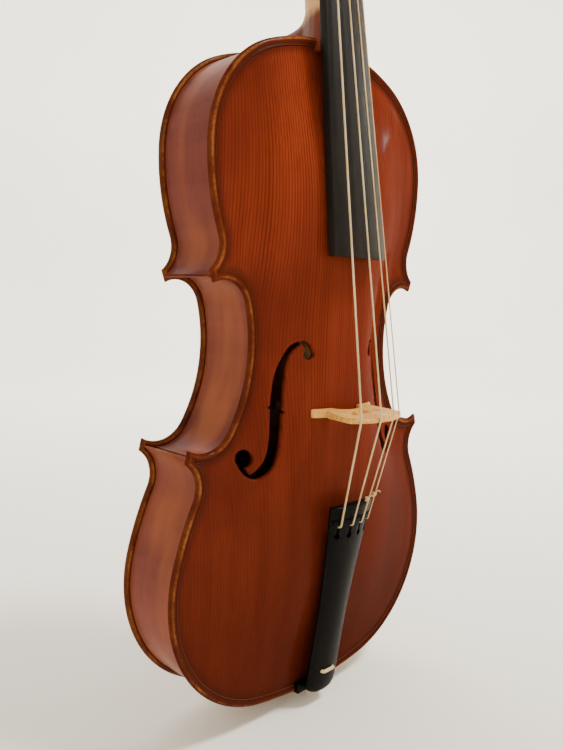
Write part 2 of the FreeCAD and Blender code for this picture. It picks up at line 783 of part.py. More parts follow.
def make_tailpiece():
    sections = [tail_section(TAILPIECE_LENGTH * t) for t in (0, 0.15, 0.3, 0.5, 0.75, 1.0)]
    body = Part.makeLoft(sections, True, False)
    for index, radius in STRINGS.values():
        point = tail_point(index)
        hole = Part.makeCylinder(1.9, 30, V(point.x, point.y - 10, point.z - 7.0), V(0, 1, 0))
        slot = Part.makeBox(1.7, 30, 7.8, V(point.x - 0.85, point.y - 10, point.z - 7.0))
        body = body.cut(hole).cut(slot)
    for x in (-5.0, 5.0):
        point = tail_frame(x, TAIL_GUT_ALONG)
        body = body.cut(Part.makeCylinder(1.5, 30, V(x, point.y - 12, point.z), V(0, 1, 0)))
    return body


def make_tail_fret(tailpiece):
    """Low ridge across the tailpiece that the strings lie on."""
    half = tail_width(TAIL_FRET_ALONG) / 2 - 1.0
    middle = tail_frame(0, TAIL_FRET_ALONG)
    edge = tail_frame(half, TAIL_FRET_ALONG)
    z = middle.z - 1.0
    crest = V(0, middle.y - 0.9, z)
    a, b = V(-half, edge.y - 0.9, z), V(half, edge.y - 0.9, z)
    c, d = V(half, edge.y + 2, z), V(-half, edge.y + 2, z)
    edges = [Part.Arc(a, crest, b).toShape(), Part.makeLine(b, c), Part.makeLine(c, d), Part.makeLine(d, a)]
    ridge = Part.Face(Part.Wire(edges)).extrude(V(0, 0, 2.0))
    return biggest(ridge.cut(tailpiece))


def make_saddle():
    y0 = FRONT_Y - EDGE_THICKNESS - 3.0
    saddle = Part.makeBox(34, 7.0, 6.5, V(-17, y0, BOTTOM_Z + 0.2))
    return saddle


def make_end_button():
    """Turned ebony button: rim, waist and collar outside, tapered shank in the end block."""
    rim = Part.makeCylinder(8.0, 4.0, V(0, 0, -2))
    waist = Part.makeCylinder(5.2, 4.4, V(0, 0, 1.8))
    collar = Part.makeCylinder(7.0, RIB_END_Z - 6.0, V(0, 0, 6.0))
    shank = Part.makeCone(3.9, 3.4, 24, V(0, 0, RIB_END_Z - 0.5), V(0, 0, 1))
    return rim.fuse([waist, collar, shank]).removeSplitter()


def make_tail_gut():
    """Gut loop from the tailpiece over the saddle and around the end button."""
    radius = 1.1
    front = tail_frame(5.0, TAIL_GUT_ALONG)
    x = 5.0
    over = FRONT_Y - EDGE_THICKNESS - 3.0 - radius - 0.25
    groove = 4.0
    points = [
        V(0, front.y - radius - 0.25, front.z),
        V(x, front.y - radius - 0.25, front.z),
        V(x, front.y + 9.6, front.z),
        V(x + 0.6, over - 0.05, BOTTOM_Z + 5.0),
        V(x + 1.0, over - 0.05, BOTTOM_Z - 1.6),
        V(6.6, -7.0, groove),
        V(6.6, 6.6, groove),
        V(0, 6.6, groove),
    ]
    half = sweep_round(rounded_path(points, [1.6, 1.8, 3.0, 1.6, 3.0, 5.0]), radius)
    return half.fuse(mirror_x(half)).removeSplitter()


# ---- assembly -----------------------------------------------------------------------
def build():
    nodes = {}
    blocks = make_blocks()
    belly = make_plate(BELLY_ARCH, -1, blocks)
    back = make_plate(BACK_ARCH, 1, blocks)
    belly_full = under_surface(BELLY_ARCH, -1, 0, FRONT_Y + 2)
    front_cavity = under_surface(BELLY_ARCH, -1, PLATE_THICKNESS, FRONT_Y)
    back_cavity = under_surface(BACK_ARCH, 1, PLATE_THICKNESS, BACK_Y)
    hole = sound_hole()
    belly = belly.cut(hole).cut(mirror_x(hole))

    neck = make_neck_shaft().fuse([make_heel(), make_pegbox(), make_scroll()]).removeSplitter()
    fingerboard = make_fingerboard()
    nut = make_nut()
    neck = biggest(neck.cut(fingerboard).cut(nut))
    for along, side in PEG_PLACES.values():
        neck = neck.cut(peg_cone(along, side, PEG_CLEARANCE))
    button_hole = Part.makeCone(3.9, 3.4, 24, V(0, 0, RIB_END_Z - 0.5), V(0, 0, 1))
    saddle = make_saddle()

    strings = {name: make_string(name) for name in STRINGS}
    ribs = make_ribs()
    for name, rib in ribs.items():
        nodes[name] = rib.cut(neck).cut(button_hole)
    belly = belly.cut(neck).cut(saddle)
    nodes["belly"], nodes["purfling_front"] = inlay(belly, purfling_grooves(-1))
    back, nodes["purfling_back"] = inlay(back, purfling_grooves(1))
    tab = biggest(make_back_button().cut(nodes["purfling_back"]))
    nodes["back"] = back.fuse(tab)
    nodes["front_linings"] = make_linings(blocks, True)
    nodes["back_linings"] = make_linings(blocks, False)
    for name, block in blocks.items():
        short = between(block, FRONT_Y, BACK_Y)
        nodes[name] = short.cut(neck).cut(button_hole)
    nodes["bass_bar"] = make_bass_bar(front_cavity)
    nodes["sound_post"] = make_sound_post(front_cavity, back_cavity)

    nodes["neck"] = neck
    nodes["fingerboard"] = fingerboard
    bridge = make_bridge(belly_full)
    tailpiece = make_tailpiece()
    tail_fret = make_tail_fret(tailpiece)
    for name, string in strings.items():
        nut = nut.cut(string)
        bridge = bridge.cut(string)
        tailpiece = tailpiece.cut(string)
        tail_fret = tail_fret.cut(string)
        nodes["string_" + name] = string
        nodes["string_winding_" + name] = string_winding(name)
    nodes["nut"] = nut
    nodes["tailpiece_fret"] = tail_fret
    nodes["bridge"] = bridge
    gut = make_tail_gut()
    nodes["saddle"] = saddle.cut(gut)
    nodes["tail_gut"] = gut
    nodes["tailpiece"] = biggest(tailpiece.cut(gut))
    nodes["end_button"] = make_end_button().cut(gut)
    for name, (along, side) in PEG_PLACES.items():
        nodes["peg_" + name] = make_peg(along, side)
    return nodes


os.makedirs("parts", exist_ok=True)
for node, shape in build().items():
    shape.exportStep("parts/" + node + ".step")
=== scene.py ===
import math

import bpy
import bmesh
import numpy as np
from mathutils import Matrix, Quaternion, Vector
from mathutils.geometry import delaunay_2d_cdt


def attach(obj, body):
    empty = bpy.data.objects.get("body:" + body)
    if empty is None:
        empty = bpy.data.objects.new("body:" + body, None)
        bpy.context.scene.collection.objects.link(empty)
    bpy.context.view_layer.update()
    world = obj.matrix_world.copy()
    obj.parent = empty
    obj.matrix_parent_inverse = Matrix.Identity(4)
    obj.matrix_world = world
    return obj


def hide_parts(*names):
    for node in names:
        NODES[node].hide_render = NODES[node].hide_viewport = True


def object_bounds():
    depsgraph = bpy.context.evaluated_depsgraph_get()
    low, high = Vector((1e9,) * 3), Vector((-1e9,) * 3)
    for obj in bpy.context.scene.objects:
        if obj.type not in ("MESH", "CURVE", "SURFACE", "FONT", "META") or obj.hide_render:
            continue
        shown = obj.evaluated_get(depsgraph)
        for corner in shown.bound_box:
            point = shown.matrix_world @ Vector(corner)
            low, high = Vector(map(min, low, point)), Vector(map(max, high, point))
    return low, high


# Viola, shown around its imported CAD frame.
# Modelling is in millimetres in the frame's axes: +X treble side, -Y out of the belly, +Z to the scroll.

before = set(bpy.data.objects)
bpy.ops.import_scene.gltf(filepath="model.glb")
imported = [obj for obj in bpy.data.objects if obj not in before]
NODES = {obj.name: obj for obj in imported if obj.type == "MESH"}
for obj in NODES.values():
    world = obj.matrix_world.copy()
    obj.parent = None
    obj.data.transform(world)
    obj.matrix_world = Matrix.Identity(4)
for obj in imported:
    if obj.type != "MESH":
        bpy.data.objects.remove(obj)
CAD_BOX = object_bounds()
MM = 0.001
ROOT = "corpus"

# ---- dimensions shared with the CAD ---------------------------------------------------
BODY_LENGTH = 410.0
RIB_HEIGHT = 40.0
EDGE = 4.0
BELLY_ARCH = 22.3
BACK_ARCH = 19.0
ARCH_LENGTH_POWER = 2.4
ARCH_CROSS_POWER = 1.6
PLATE = 3.2
CHANNEL_INSET = 7.0
BOTTOM_Z = 6.0
TOP_Z = BOTTOM_Z + BODY_LENGTH
BRIDGE_Z = TOP_Z - 222.0
NUT_Z = TOP_Z + 147.0
FRONT_Y = -RIB_HEIGHT / 2
BACK_Y = RIB_HEIGHT / 2
NECK_SLOPE = 0.1345
FINGERBOARD_LENGTH = 276.0
FINGERBOARD_SIDE = 5.4
FINGERBOARD_RADIUS = 52.0
HEAD_TILT = math.atan(NECK_SLOPE) + math.radians(14.0)
SCROLL_ALONG = 97.0
SCROLL_FORWARD = 3.0
PEG_DEPTH = -7.6
PEG_PLACES = {"c": (13.0, -1), "a": (28.5, 1), "g": (44.0, -1), "d": (59.0, 1)}
PEG_RADIUS = 3.8
TURNS_ON_PEG = 4.6
STRING_RADIUS = {"c": 0.62, "g": 0.52, "d": 0.44, "a": 0.36}
STRING_HEIGHT_AT_BRIDGE = 75.8
STRING_SPREAD_BRIDGE = 40.5
BRIDGE_CROWN_RADIUS = 40.0
BRIDGE_WIDTH = 55.0
BRIDGE_FOOT_THICK = 5.3
BRIDGE_TAPER = 2.9
BRIDGE_REAR_Z = BRIDGE_Z - 2.7
TAIL_SPREAD = 26.5
TAILPIECE_LENGTH = 133.0
TAIL_GUT_ALONG = 117.0
TAIL_SLOT_ALONG = 12.5
TAIL_TOP_WIDTH = 40.0
TAIL_END_WIDTH = 28.0
TAIL_WAIST = 1.6
TAIL_BELOW_BRIDGE = 57.0

UPPER_BOUT = [(139.6, 23.2), (66.8, 65.2), (127.2, 22.6), (-17.2, 74.0)]
CENTRE_BOUT = [(-17.0, 101.6), (-92.5, 46.8), (-21.2, 89.0)]
LOWER_BOUT = [(266.9, 10.6), (83.1, 93.6), (191.4, 11.5), (-17.9, 81.3)]
UPPER_CORNER = (90.3, BOTTOM_Z + 263.1)
# start, heading in degrees, arcs, and the side to which the outline turns
UPPER_WALK = ((0, TOP_Z), 0, UPPER_BOUT, -1)
CENTRE_WALK = (UPPER_CORNER, 153.2, CENTRE_BOUT, -1)
LOWER_WALK = ((0, BOTTOM_Z), 0, LOWER_BOUT, 1)


# ---- camera ---------------------------------------------------------------------------
def make_camera():
    data = bpy.data.cameras.new("camera")
    data.sensor_fit = "HORIZONTAL"
    data.sensor_width = 36.0
    data.lens = 44.87
    data.clip_start = 0.02
    camera = bpy.data.objects.new("camera", data)
    camera.location = Vector((-333.9, -318.65, 262.57)) * MM
    target = Vector((-16.87, -3.18, 212.84)) * MM
    aim = (target - camera.location).to_track_quat("-Z", "Y")
    roll = Quaternion((0, 0, 1), math.radians(1.74))
    camera.rotation_mode = "QUATERNION"
    camera.rotation_quaternion = aim @ roll
    bpy.context.scene.collection.objects.link(camera)
    bpy.context.scene.camera = camera


make_camera()


# ---- mesh helpers ---------------------------------------------------------------------
def new_object(name, verts, faces):
    """Smooth-shaded mesh object from vertices in millimetres."""
    mesh = bpy.data.meshes.new(name)
    coords = np.asarray(verts, float) * MM
    mesh.from_pydata(coords.tolist(), [], [tuple(int(i) for i in f) for f in faces])
    mesh.validate()
    mesh.update()
    obj = bpy.data.objects.new(name, mesh)
    bpy.context.scene.collection.objects.link(obj)
    smooth_shade(obj)
    return obj


def smooth_shade(obj):
    obj.data.polygons.foreach_set("use_smooth", [True] * len(obj.data.polygons))


def bake(obj):
    """Apply an object's modifiers to its mesh."""
    bpy.context.view_layer.update()
    depsgraph = bpy.context.evaluated_depsgraph_get()
    mesh = bpy.data.meshes.new_from_object(obj.evaluated_get(depsgraph))
    old = obj.data
    obj.modifiers.clear()
    obj.data = mesh
    bpy.data.meshes.remove(old)
    mesh.name = obj.name
    return obj


def recalc(obj):
    """Turn all faces of an object outwards."""
    bm = bmesh.new()
    bm.from_mesh(obj.data)
    bmesh.ops.recalc_face_normals(bm, faces=bm.faces)
    bm.to_mesh(obj.data)
    bm.free()
    return obj


def remove(obj):
    mesh = obj.data
    bpy.data.objects.remove(obj)
    bpy.data.meshes.remove(mesh)


def loft(rings, caps=True):
    """Vertices and faces of a tube through rings that all have the same number of points."""
    count = len(rings[0])
    verts = [p for ring in rings for p in ring]
    faces = []
    for i in range(len(rings) - 1):
        a, b = i * count, (i + 1) * count
        for j in range(count):
            k = (j + 1) % count
            faces.append((a + j, a + k, b + k, b + j))
    if caps:
        faces.append(tuple(range(count))[::-1])
        faces.append(tuple(range(len(verts) - count, len(verts))))
    return verts, faces


def circle(count):
    """Cosines and sines of evenly spaced angles."""
    return [(math.cos(2 * math.pi * k / count), math.sin(2 * math.pi * k / count)) for k in range(count)]


def mirrored(points):
    """The same outline points on the other side of x = 0, in reverse order."""
    return [(-x, y) for x, y in reversed(points)]


def power(value, exponent):
    """Power of a number's size, with the number's sign."""
    return math.copysign(abs(value) ** exponent, value)


def merge_parts(name, parts):
    """One object from several (vertices, faces) shells."""
    verts, faces = [], []
    for part_verts, part_faces in parts:
        base = len(verts)
        verts += [tuple(v) for v in part_verts]
        faces += [tuple(base + i for i in f) for f in part_faces]
    return recalc(new_object(name, verts, faces))


def weld(obj, voxel, smooth_steps):
    """Turn overlapping shells into one smooth skin."""
    remesh = obj.modifiers.new("remesh", "REMESH")
    remesh.mode = "VOXEL"
    remesh.voxel_size = voxel * MM
    remesh.use_smooth_shade = True
    relax = obj.modifiers.new("relax", "SMOOTH")
    relax.factor = 0.5
    relax.iterations = smooth_steps
    bake(obj)


def bevel_edges(obj, width, segments, angle):
    """Round over the edges that are sharper than an angle."""
    bevel = obj.modifiers.new("bevel", "BEVEL")
    bevel.width = width * MM
    bevel.segments = segments
    bevel.limit_method = "ANGLE"
    bevel.angle_limit = math.radians(angle)
    bake(obj)


def mark_smooth(obj, angle):
    """Smooth shading with hard edges above an angle."""
    smooth_shade(obj)
    bm = bmesh.new()
    bm.from_mesh(obj.data)
    for edge in bm.edges:
        if len(edge.link_faces) == 2 and edge.calc_face_angle(0) > math.radians(angle):
            edge.smooth = False
    bm.to_mesh(obj.data)
    bm.free()


def catmull(points, spacing, closed=False):
    """Smooth curve through points, sampled at about the given spacing."""
    pts = np.asarray(points, float)
    n = len(pts)
    out = []
    spans = n if closed else n - 1
    for i in range(spans):
        p1, p2 = pts[i], pts[(i + 1) % n]
        p0 = pts[i - 1] if (i > 0 or closed) else 2 * p1 - p2
        p3 = pts[(i + 2) % n] if (i + 2 < n or closed) else 2 * p2 - p1
        steps = max(2, int(round(np.linalg.norm(p2 - p1) / spacing)))
        t = (np.arange(steps) / steps)[:, None]
        curve = 0.5 * (2 * p1 + (p2 - p0) * t + (2 * p0 - 5 * p1 + 4 * p2 - p3) * t ** 2
                       + (3 * p1 - p0 - 3 * p2 + p3) * t ** 3)
        out.append(curve)
    if not closed:
        out.append(pts[-1:])
    return np.vstack(out)


def inside(points, polygon):
    """Which points lie in a closed polygon."""
    px, pz = points[:, 0], points[:, 1]
    hit = np.zeros(len(points), bool)
    for (x0, z0), (x1, z1) in zip(polygon, np.roll(polygon, -1, axis=0)):
        if z0 != z1:
            cross = (z0 > pz) != (z1 > pz)
            hit ^= cross & (px < (x1 - x0) * (pz - z0) / (z1 - z0) + x0)
    return hit


def distance_to(points, polygon):
    """Distance of each point to a closed polyline."""
    d = np.roll(polygon, -1, axis=0) - polygon
    length = np.maximum((d ** 2).sum(1), 1e-12)
    best = np.empty(len(points))
    batch = 1500
    for start in range(0, len(points), batch):
        rel = points[start:start + batch, None, :] - polygon[None, :, :]
        t = np.clip((rel * d).sum(2) / length, 0, 1)
        gap = rel - t[..., None] * d
        best[start:start + batch] = np.sqrt((gap ** 2).sum(2).min(1))
    return best


def offset_ring(base, normals, inset, polygon):
    """Closed line at a constant distance inside a polygon, mitred at its corners."""
    def between(i, j, t):
        """Shifted point part of the way from one base point to the next."""
        return base[i] * (1 - t) + base[j] * t + (normals[i] * (1 - t) + normals[j] * t) * inset

    def kept(q):
        return distance_to(q, polygon) >= inset - 0.03

    shifted = base + normals * inset
    ok = kept(shifted)
    out = []
    for i in range(len(base)):
        j = (i + 1) % len(base)
        if ok[i]:
            out.append(shifted[i])
        if ok[i] != ok[j]:
            lo, hi = 0.0, 1.0
            for _ in range(9):
                mid = (lo + hi) / 2
                if kept(between(i, j, mid)[None, :])[0] == ok[i]:
                    lo = mid
                else:
                    hi = mid
            out.append(between(i, j, lo))
    return np.array(out)


# ---- body outline ---------------------------------------------------------------------
FLIP = np.array([-1.0, 1.0])


def walk(start, heading, arcs, side, step=1.3):
    """Points along tangent arcs with their inward normals."""
    angle = math.radians(heading)
    p = np.array(start, float)
    points, normals = [], []
    for radius, sweep in arcs:
        convex = radius > 0
        turn = side if convex else -side
        r = abs(radius)
        centre = p + turn * r * np.array([-math.sin(angle), math.cos(angle)])
        total = math.radians(sweep)
        count = max(4, int(r * total / step))
        for k in range(count):
            b = angle + turn * total * k / count
            points.append(centre + turn * r * np.array([math.sin(b), -math.cos(b)]))
            normals.append(side * np.array([-math.sin(b), math.cos(b)]))
        angle += turn * total
        p = centre + turn * r * np.array([math.sin(angle), -math.cos(angle)])
    points.append(p)
    normals.append(side * np.array([-math.sin(angle), math.cos(angle)]))
    return np.array(points), np.array(normals)


def corner_end(a, b):
    """The short straight end of a corner with its inward normal."""
    t = np.linspace(0, 1, 7)[:, None]
    points = a * (1 - t) + b * t
    d = (b - a) / np.linalg.norm(b - a)
    normal = np.array([d[1], -d[0]])
    if normal[0] > 0:
        normal = -normal
    return points, np.repeat(normal[None, :], 7, axis=0)


def body_outline():
    """Closed outline of the body with its inward normals."""
    upper, upper_n = walk(*UPPER_WALK)
    centre, centre_n = walk(*CENTRE_WALK)
    lower, lower_n = (line[::-1] for line in walk(*LOWER_WALK))
    end_u, end_un = corner_end(upper[-1], centre[0])
    end_l, end_ln = corner_end(centre[-1], lower[0])
    points = np.vstack([upper, end_u, centre, end_l, lower])
    normals = np.vstack([upper_n, end_un, centre_n, end_ln, lower_n])
    left, left_n = (points * FLIP)[::-1][1:-1], (normals * FLIP)[::-1][1:-1]
    return np.vstack([points, left]), np.vstack([normals, left_n])


OUTLINE, OUTLINE_N = body_outline()


def arched_half_widths():
    """Half width of the arched area against height, smooth over the corners."""
    def shift(start, heading, arcs, side):
        points, normals = walk(start, heading, arcs[:3], side)
        return points + normals * CHANNEL_INSET

    def widest(line):
        return line[line[:, 0].argmax()]

    upper, lower, centre = shift(*UPPER_WALK), shift(*LOWER_WALK), shift(*CENTRE_WALK)
    wide_u, wide_l = widest(upper), widest(lower)
    waist = centre[centre[:, 0].argmin()]
    z = np.linspace(BOTTOM_Z + CHANNEL_INSET, TOP_Z - CHANNEL_INSET, 700)
    width = np.zeros_like(z)
    for end, line in ((z >= wide_u[1], upper), (z <= wide_l[1], lower)):
        line = line[np.argsort(line[:, 1])]
        width[end] = np.interp(z[end], line[:, 1], line[:, 0])
    mid_u = (z < wide_u[1]) & (z >= waist[1])
    mid_l = (z < waist[1]) & (z > wide_l[1])
    for part, low, high in ((mid_u, waist, wide_u), (mid_l, wide_l, waist)):
        t = (z[part] - low[1]) / (high[1] - low[1])
        width[part] = low[0] + (high[0] - low[0]) * (1 - np.cos(math.pi * t)) / 2
    return z, width


WIDTH_Z, WIDTH_X = arched_half_widths()


def arch_height(x, z, arch):
    """Height of a plate's outer surface over its gluing plane."""
    t = np.abs(z - (TOP_Z + BOTTOM_Z) / 2) / (BODY_LENGTH / 2 - CHANNEL_INSET)
    width = np.maximum(np.interp(z, WIDTH_Z, WIDTH_X), 1e-3)
    u = np.clip(np.abs(x) / width, 0, 1)
    along = (1 + np.cos(math.pi * np.clip(t, 0, 1) ** ARCH_LENGTH_POWER)) / 2
    across = (1 + np.cos(math.pi * u ** ARCH_CROSS_POWER)) / 2
    return EDGE + (arch - EDGE) * along * across


def smoothed(knots, spread):
    """Soft curve near a list of (distance, value) knots, as a lookup."""
    xs = np.arange(0, 30, 0.02)
    ys = np.interp(xs, [k[0] for k in knots], [k[1] for k in knots])
    half = int(spread / 0.02)
    window = np.hanning(2 * half + 1)
    padded = np.concatenate([2 * ys[0] - ys[half:0:-1], ys, np.full(half, ys[-1])])
    return xs, np.convolve(padded, window / window.sum(), "valid")


# edge profile of a plate over its distance from the outline, relative to the plain edge height
EDGE_RELIEF = smoothed([
    (0, -1.75), (0.35, -0.75), (0.9, -0.15), (1.6, 0.22), (2.3, 0.3), (3.1, 0.1), (4.2, -0.45),
    (5.5, -0.95), (7.2, -1.1), (9.5, -0.75), (13.0, -0.2), (17.0, 0)], 0.3)
UNDER_RELIEF = smoothed([(0, 1.5), (0.3, 0.8), (0.8, 0.25), (1.5, 0.0), (30, 0)], 0.2)


def sound_hole(spacing):
    """Contour of the treble sound hole: two long curves, two wings and two round eyes."""
    outer = catmull([
        (26.4, 226.6), (28.6, 229.6), (32.5, 231.0), (38.2, 228.6), (42.8, 221.5), (46.9, 211.0),
        (49.6, 198.0), (51.3, 184.5), (53.3, 171.5), (56.2, 162.8), (60.4, 157.6), (65.3, 153.8)], spacing)
    inner = catmull([
        (72.6, 160.8), (71.0, 157.4), (68.0, 153.6), (62.4, 151.2), (56.6, 152.6), (51.6, 156.8),
        (48.4, 163.4), (45.8, 174.0), (43.9, 187.0), (42.2, 200.0), (40.4, 213.6), (38.0, 223.0),
        (32.6, 229.3)], spacing)
    outer = nick(outer, 191.8, 1.6)
    inner = nick(inner, 189.0, -1.6)
    low = eye_arc((68.0, 163.2), 5.4, (67.4, 157.9), inner[0], spacing)
    high = eye_arc((28.5, 223.2), 3.2, (30.3, 225.9), outer[0], spacing)
    return np.vstack([outer, low, inner, high]) + np.array([0, BOTTOM_Z])


def nick(line, height, reach):
    """Small notch in one side of the hole."""
    line = line[np.abs(line[:, 1] - height) >= 0.9]
    above = line[:, 1] > height
    k = int(np.argmax(above != above[0]))
    order = np.argsort(line[:, 1])
    x = np.interp(height, line[order, 1], line[order, 0])
    return np.insert(line, k, np.array([x + reach, height]), axis=0)


def eye_arc(centre, radius, start, end, spacing):
    """Long way round an eye from one wing tip to where the curve leaves it."""
    c = np.array(centre)
    a0 = math.atan2(start[1] - c[1], start[0] - c[0])
    a1 = math.atan2(end[1] - c[1], end[0] - c[0])
    while a1 > a0:
        a1 -= 2 * math.pi
    count = max(10, int(radius * (a0 - a1) / spacing))
    angles = np.linspace(a0, a1, count + 1)[1:-1]
    arc = np.stack([c[0] + radius * np.cos(angles), c[1] + radius * np.sin(angles)], 1)
    return np.vstack([[start], arc])


def ring_normals(polygon):
    """Unit normals of a closed polygon, pointing to its left."""
    d = np.roll(polygon, -1, axis=0) - np.roll(polygon, 1, axis=0)
    d /= np.maximum(np.linalg.norm(d, axis=1), 1e-9)[:, None]
    return np.stack([-d[:, 1], d[:, 0]], 1)


def signed_area(polygon):
    x, z = polygon[:, 0], polygon[:, 1]
    return 0.5 * np.sum(x * np.roll(z, -1) - z * np.roll(x, -1))


def triangulate(loops, scattered):
    """Constrained triangles through closed loops and free points."""
    verts, edges = [], []
    for loop in loops:
        base = len(verts)
        verts += [Vector(p) for p in loop]
        edges += [(base + i, base + (i + 1) % len(loop)) for i in range(len(loop))]
    verts += [Vector(p) for p in scattered]
    made = delaunay_2d_cdt(verts, edges, [], 0, 1e-4, False)
    points = np.array([tuple(v) for v in made[0]])
    faces = np.array([tuple(f) for f in made[2] if len(f) == 3])
    return points, faces


def hex_grid(outline, spacing, clear):
    """Evenly spread points inside an outline, clear of its line."""
    lo, hi = outline.min(0), outline.max(0)
    rows = []
    z = lo[1]
    while z <= hi[1]:
        x = np.arange(lo[0] + (spacing / 2 if len(rows) % 2 else 0), hi[0], spacing)
        rows.append(np.stack([x, np.full_like(x, z)], 1))
        z += spacing * 0.866
    grid = np.vstack(rows)
    grid = grid[inside(grid, outline)]
    return grid[distance_to(grid, outline) > clear]


def shell(points, faces, upper, lower, place):
    """Closed plate: upper and lower skins on the same triangles, with side walls."""
    count = len(points)
    verts = np.vstack([place(points, upper), place(points, lower)])
    down = faces[:, ::-1] + count
    edges = dict.fromkeys(pair for f in faces for pair in ((f[0], f[1]), (f[1], f[2]), (f[2], f[0])))
    walls = [(b, a, a + count, b + count) for (a, b) in edges if (b, a) not in edges]
    return verts, [tuple(f) for f in faces] + [tuple(f) for f in down] + walls


def add_rim(obj, values):
    """Keep each vertex's distance from the outline, for the materials."""
    layer = obj.data.attributes.new("rim", "FLOAT", "POINT")
    layer.data.foreach_set("value", np.asarray(values, np.float32))


def fill_region(outline, loops, grid, holes, beside, clear):
    """Triangles over an outline without its holes; beside lists the extra rings round each hole."""
    for hole in holes:
        out = ring_normals(hole) * (-1 if signed_area(hole) > 0 else 1)
        loops += [hole] + [hole + out * gap for gap in beside]
        grid = grid[~inside(grid, hole) & (distance_to(grid, hole) > clear)]
    points, faces = triangulate(loops, grid)
    middle = points[faces].mean(1)
    keep = inside(middle, outline)
    for hole in holes:
        keep &= ~inside(middle, hole)
    return points, faces[keep]


PURFLING = (4.2, 4.64, 5.06, 5.5)
RINGS = (0, 0.3, 0.7, 1.2, 1.8, 2.4, 3.1, 3.7) + PURFLING + (6.4, 7.6, 9.2, 11.0, 13.2)


def make_plate(side, arch, holes):
    """Belly (side -1) or back (side 1) and its purfling, as meshes with rounded edges."""
    loops = [OUTLINE] + [offset_ring(OUTLINE, OUTLINE_N, d, OUTLINE) for d in RINGS[1:]]
    grid = hex_grid(OUTLINE, 2.8, RINGS[-1] + 1.4)
    points, faces = fill_region(OUTLINE, loops, grid, holes, (0.45, 1.3), 2.2)
    a, b, c = points[faces[:, 0]], points[faces[:, 1]], points[faces[:, 2]]
    area = (b[:, 0] - a[:, 0]) * (c[:, 1] - a[:, 1]) - (b[:, 1] - a[:, 1]) * (c[:, 0] - a[:, 0])
    faces = np.where((area < 0)[:, None], faces[:, ::-1], faces)
    depth = distance_to(points, OUTLINE)
    depth[~inside(points, OUTLINE)] = 0
    dome = arch_height(points[:, 0], points[:, 1], arch)
    top = dome + np.interp(depth, *EDGE_RELIEF)
    hollow = np.clip((depth - 8.0) / 1.5, 0, 1)
    bottom = np.interp(depth, *UNDER_RELIEF) * (1 - hollow) + (dome - PLATE) * hollow
    for hole in holes:
        gap = distance_to(points, hole)
        top = top - 0.35 * np.clip(1 - gap / 0.45, 0, 1)

    def place(p, height):
        return np.stack([p[:, 0], side * (RIB_HEIGHT / 2 + height), p[:, 1]], 1)

    middle_depth = depth[faces].mean(1)
    band = (middle_depth > PURFLING[0]) & (middle_depth < PURFLING[-1])
    name = "belly" if side < 0 else "back"
    plate = new_object(name + "_plate", *shell(points, faces, top, bottom, place))
    add_rim(plate, np.concatenate([depth, depth]))
    # the inlay strip sits a hair above the plate
    used, index = np.unique(faces[band], return_inverse=True)
    strip = shell(points[used], index.reshape(-1, 3), top[used] + 0.03, top[used] - 1.2, place)
    inlay = new_object(name + "_inlay", *strip)
    add_rim(inlay, np.concatenate([depth[used], depth[used]]))
    return recalc(plate), recalc(inlay)


# ---- materials ------------------------------------------------------------------------
def colour(r, g, b):
    """Linear colour from 0-255 screen values."""
    def linear(c):
        c /= 255.0
        return c / 12.92 if c <= 0.04045 else ((c + 0.055) / 1.055) ** 2.4
    return (linear(r), linear(g), linear(b), 1.0)


class Shader:
    """Small builder for a Principled material's node tree."""

    def __init__(self, name, roughness=0.4, coat=0.0, coat_roughness=0.1, specular=0.5):
        self.material = bpy.data.materials.new(name)
        self.material.use_nodes = True
        self.tree = self.material.node_tree
        self.tree.nodes.clear()
        self.bsdf = self.node("ShaderNodeBsdfPrincipled", {
            "Roughness": roughness, "Coat Weight": coat, "Coat Roughness": coat_roughness,
            "Specular IOR Level": specular})
        self.node("ShaderNodeOutputMaterial", {0: self.bsdf.outputs[0]})
        self.coords = self.node("ShaderNodeTexCoord").outputs["Object"]

    def node(self, kind, inputs=None, **settings):
        made = self.tree.nodes.new(kind)
        for key, value in settings.items():
            setattr(made, key, value)
        for key, value in (inputs or {}).items():
            self.feed(made.inputs[key], value)
        return made

    def feed(self, socket, value):
        if isinstance(value, bpy.types.NodeSocket):
            self.tree.links.new(value, socket)
        else:
            socket.default_value = value

    def noise(self, scale, detail=3.0, roughness=0.5, size=1.0):
        """Noise over object space, scaled along each axis."""
        stretched = self.node("ShaderNodeMapping", {"Vector": self.coords, "Scale": scale}).outputs[0]
        made = self.node("ShaderNodeTexNoise", {
            "Vector": stretched, "Scale": size, "Detail": detail, "Roughness": roughness})
        return made.outputs["Fac"]

    def math(self, operation, a, b=0.0, c=0.0):
        return self.node("ShaderNodeMath", {0: a, 1: b, 2: c}, operation=operation).outputs[0]

    def remap(self, value, a, b, c=0.0, d=1.0):
        """Smooth step from c to d while the value goes from a to b."""
        made = self.node("ShaderNodeMapRange", {0: value, 1: a, 2: b, 3: c, 4: d},
                         interpolation_type="SMOOTHSTEP")
        return made.outputs[0]

    def mix(self, factor, a, b):
        """Blend of two colours; a colour mix node has them at inputs 6 and 7, and its result at output 2."""
        return self.node("ShaderNodeMix", {0: factor, 6: a, 7: b}, data_type="RGBA").outputs[2]

    def tint(self, base, pattern, low, high, amount, shade):
        """Cover the base with a shade where the pattern rises from low to high."""
        return self.mix(self.remap(pattern, low, high, 0.0, amount), base, shade)

    def bump(self, height, strength, distance):
        made = self.node("ShaderNodeBump", {"Height": height, "Strength": strength, "Distance": distance})
        self.feed(self.bsdf.inputs["Normal"], made.outputs[0])

    def paint(self, value):
        self.feed(self.bsdf.inputs["Base Color"], value)

    def attribute(self, name):
        return self.node("ShaderNodeAttribute", attribute_name=name).outputs["Fac"]

    def separate(self):
        return self.node("ShaderNodeSeparateXYZ", {"Vector": self.coords}).outputs


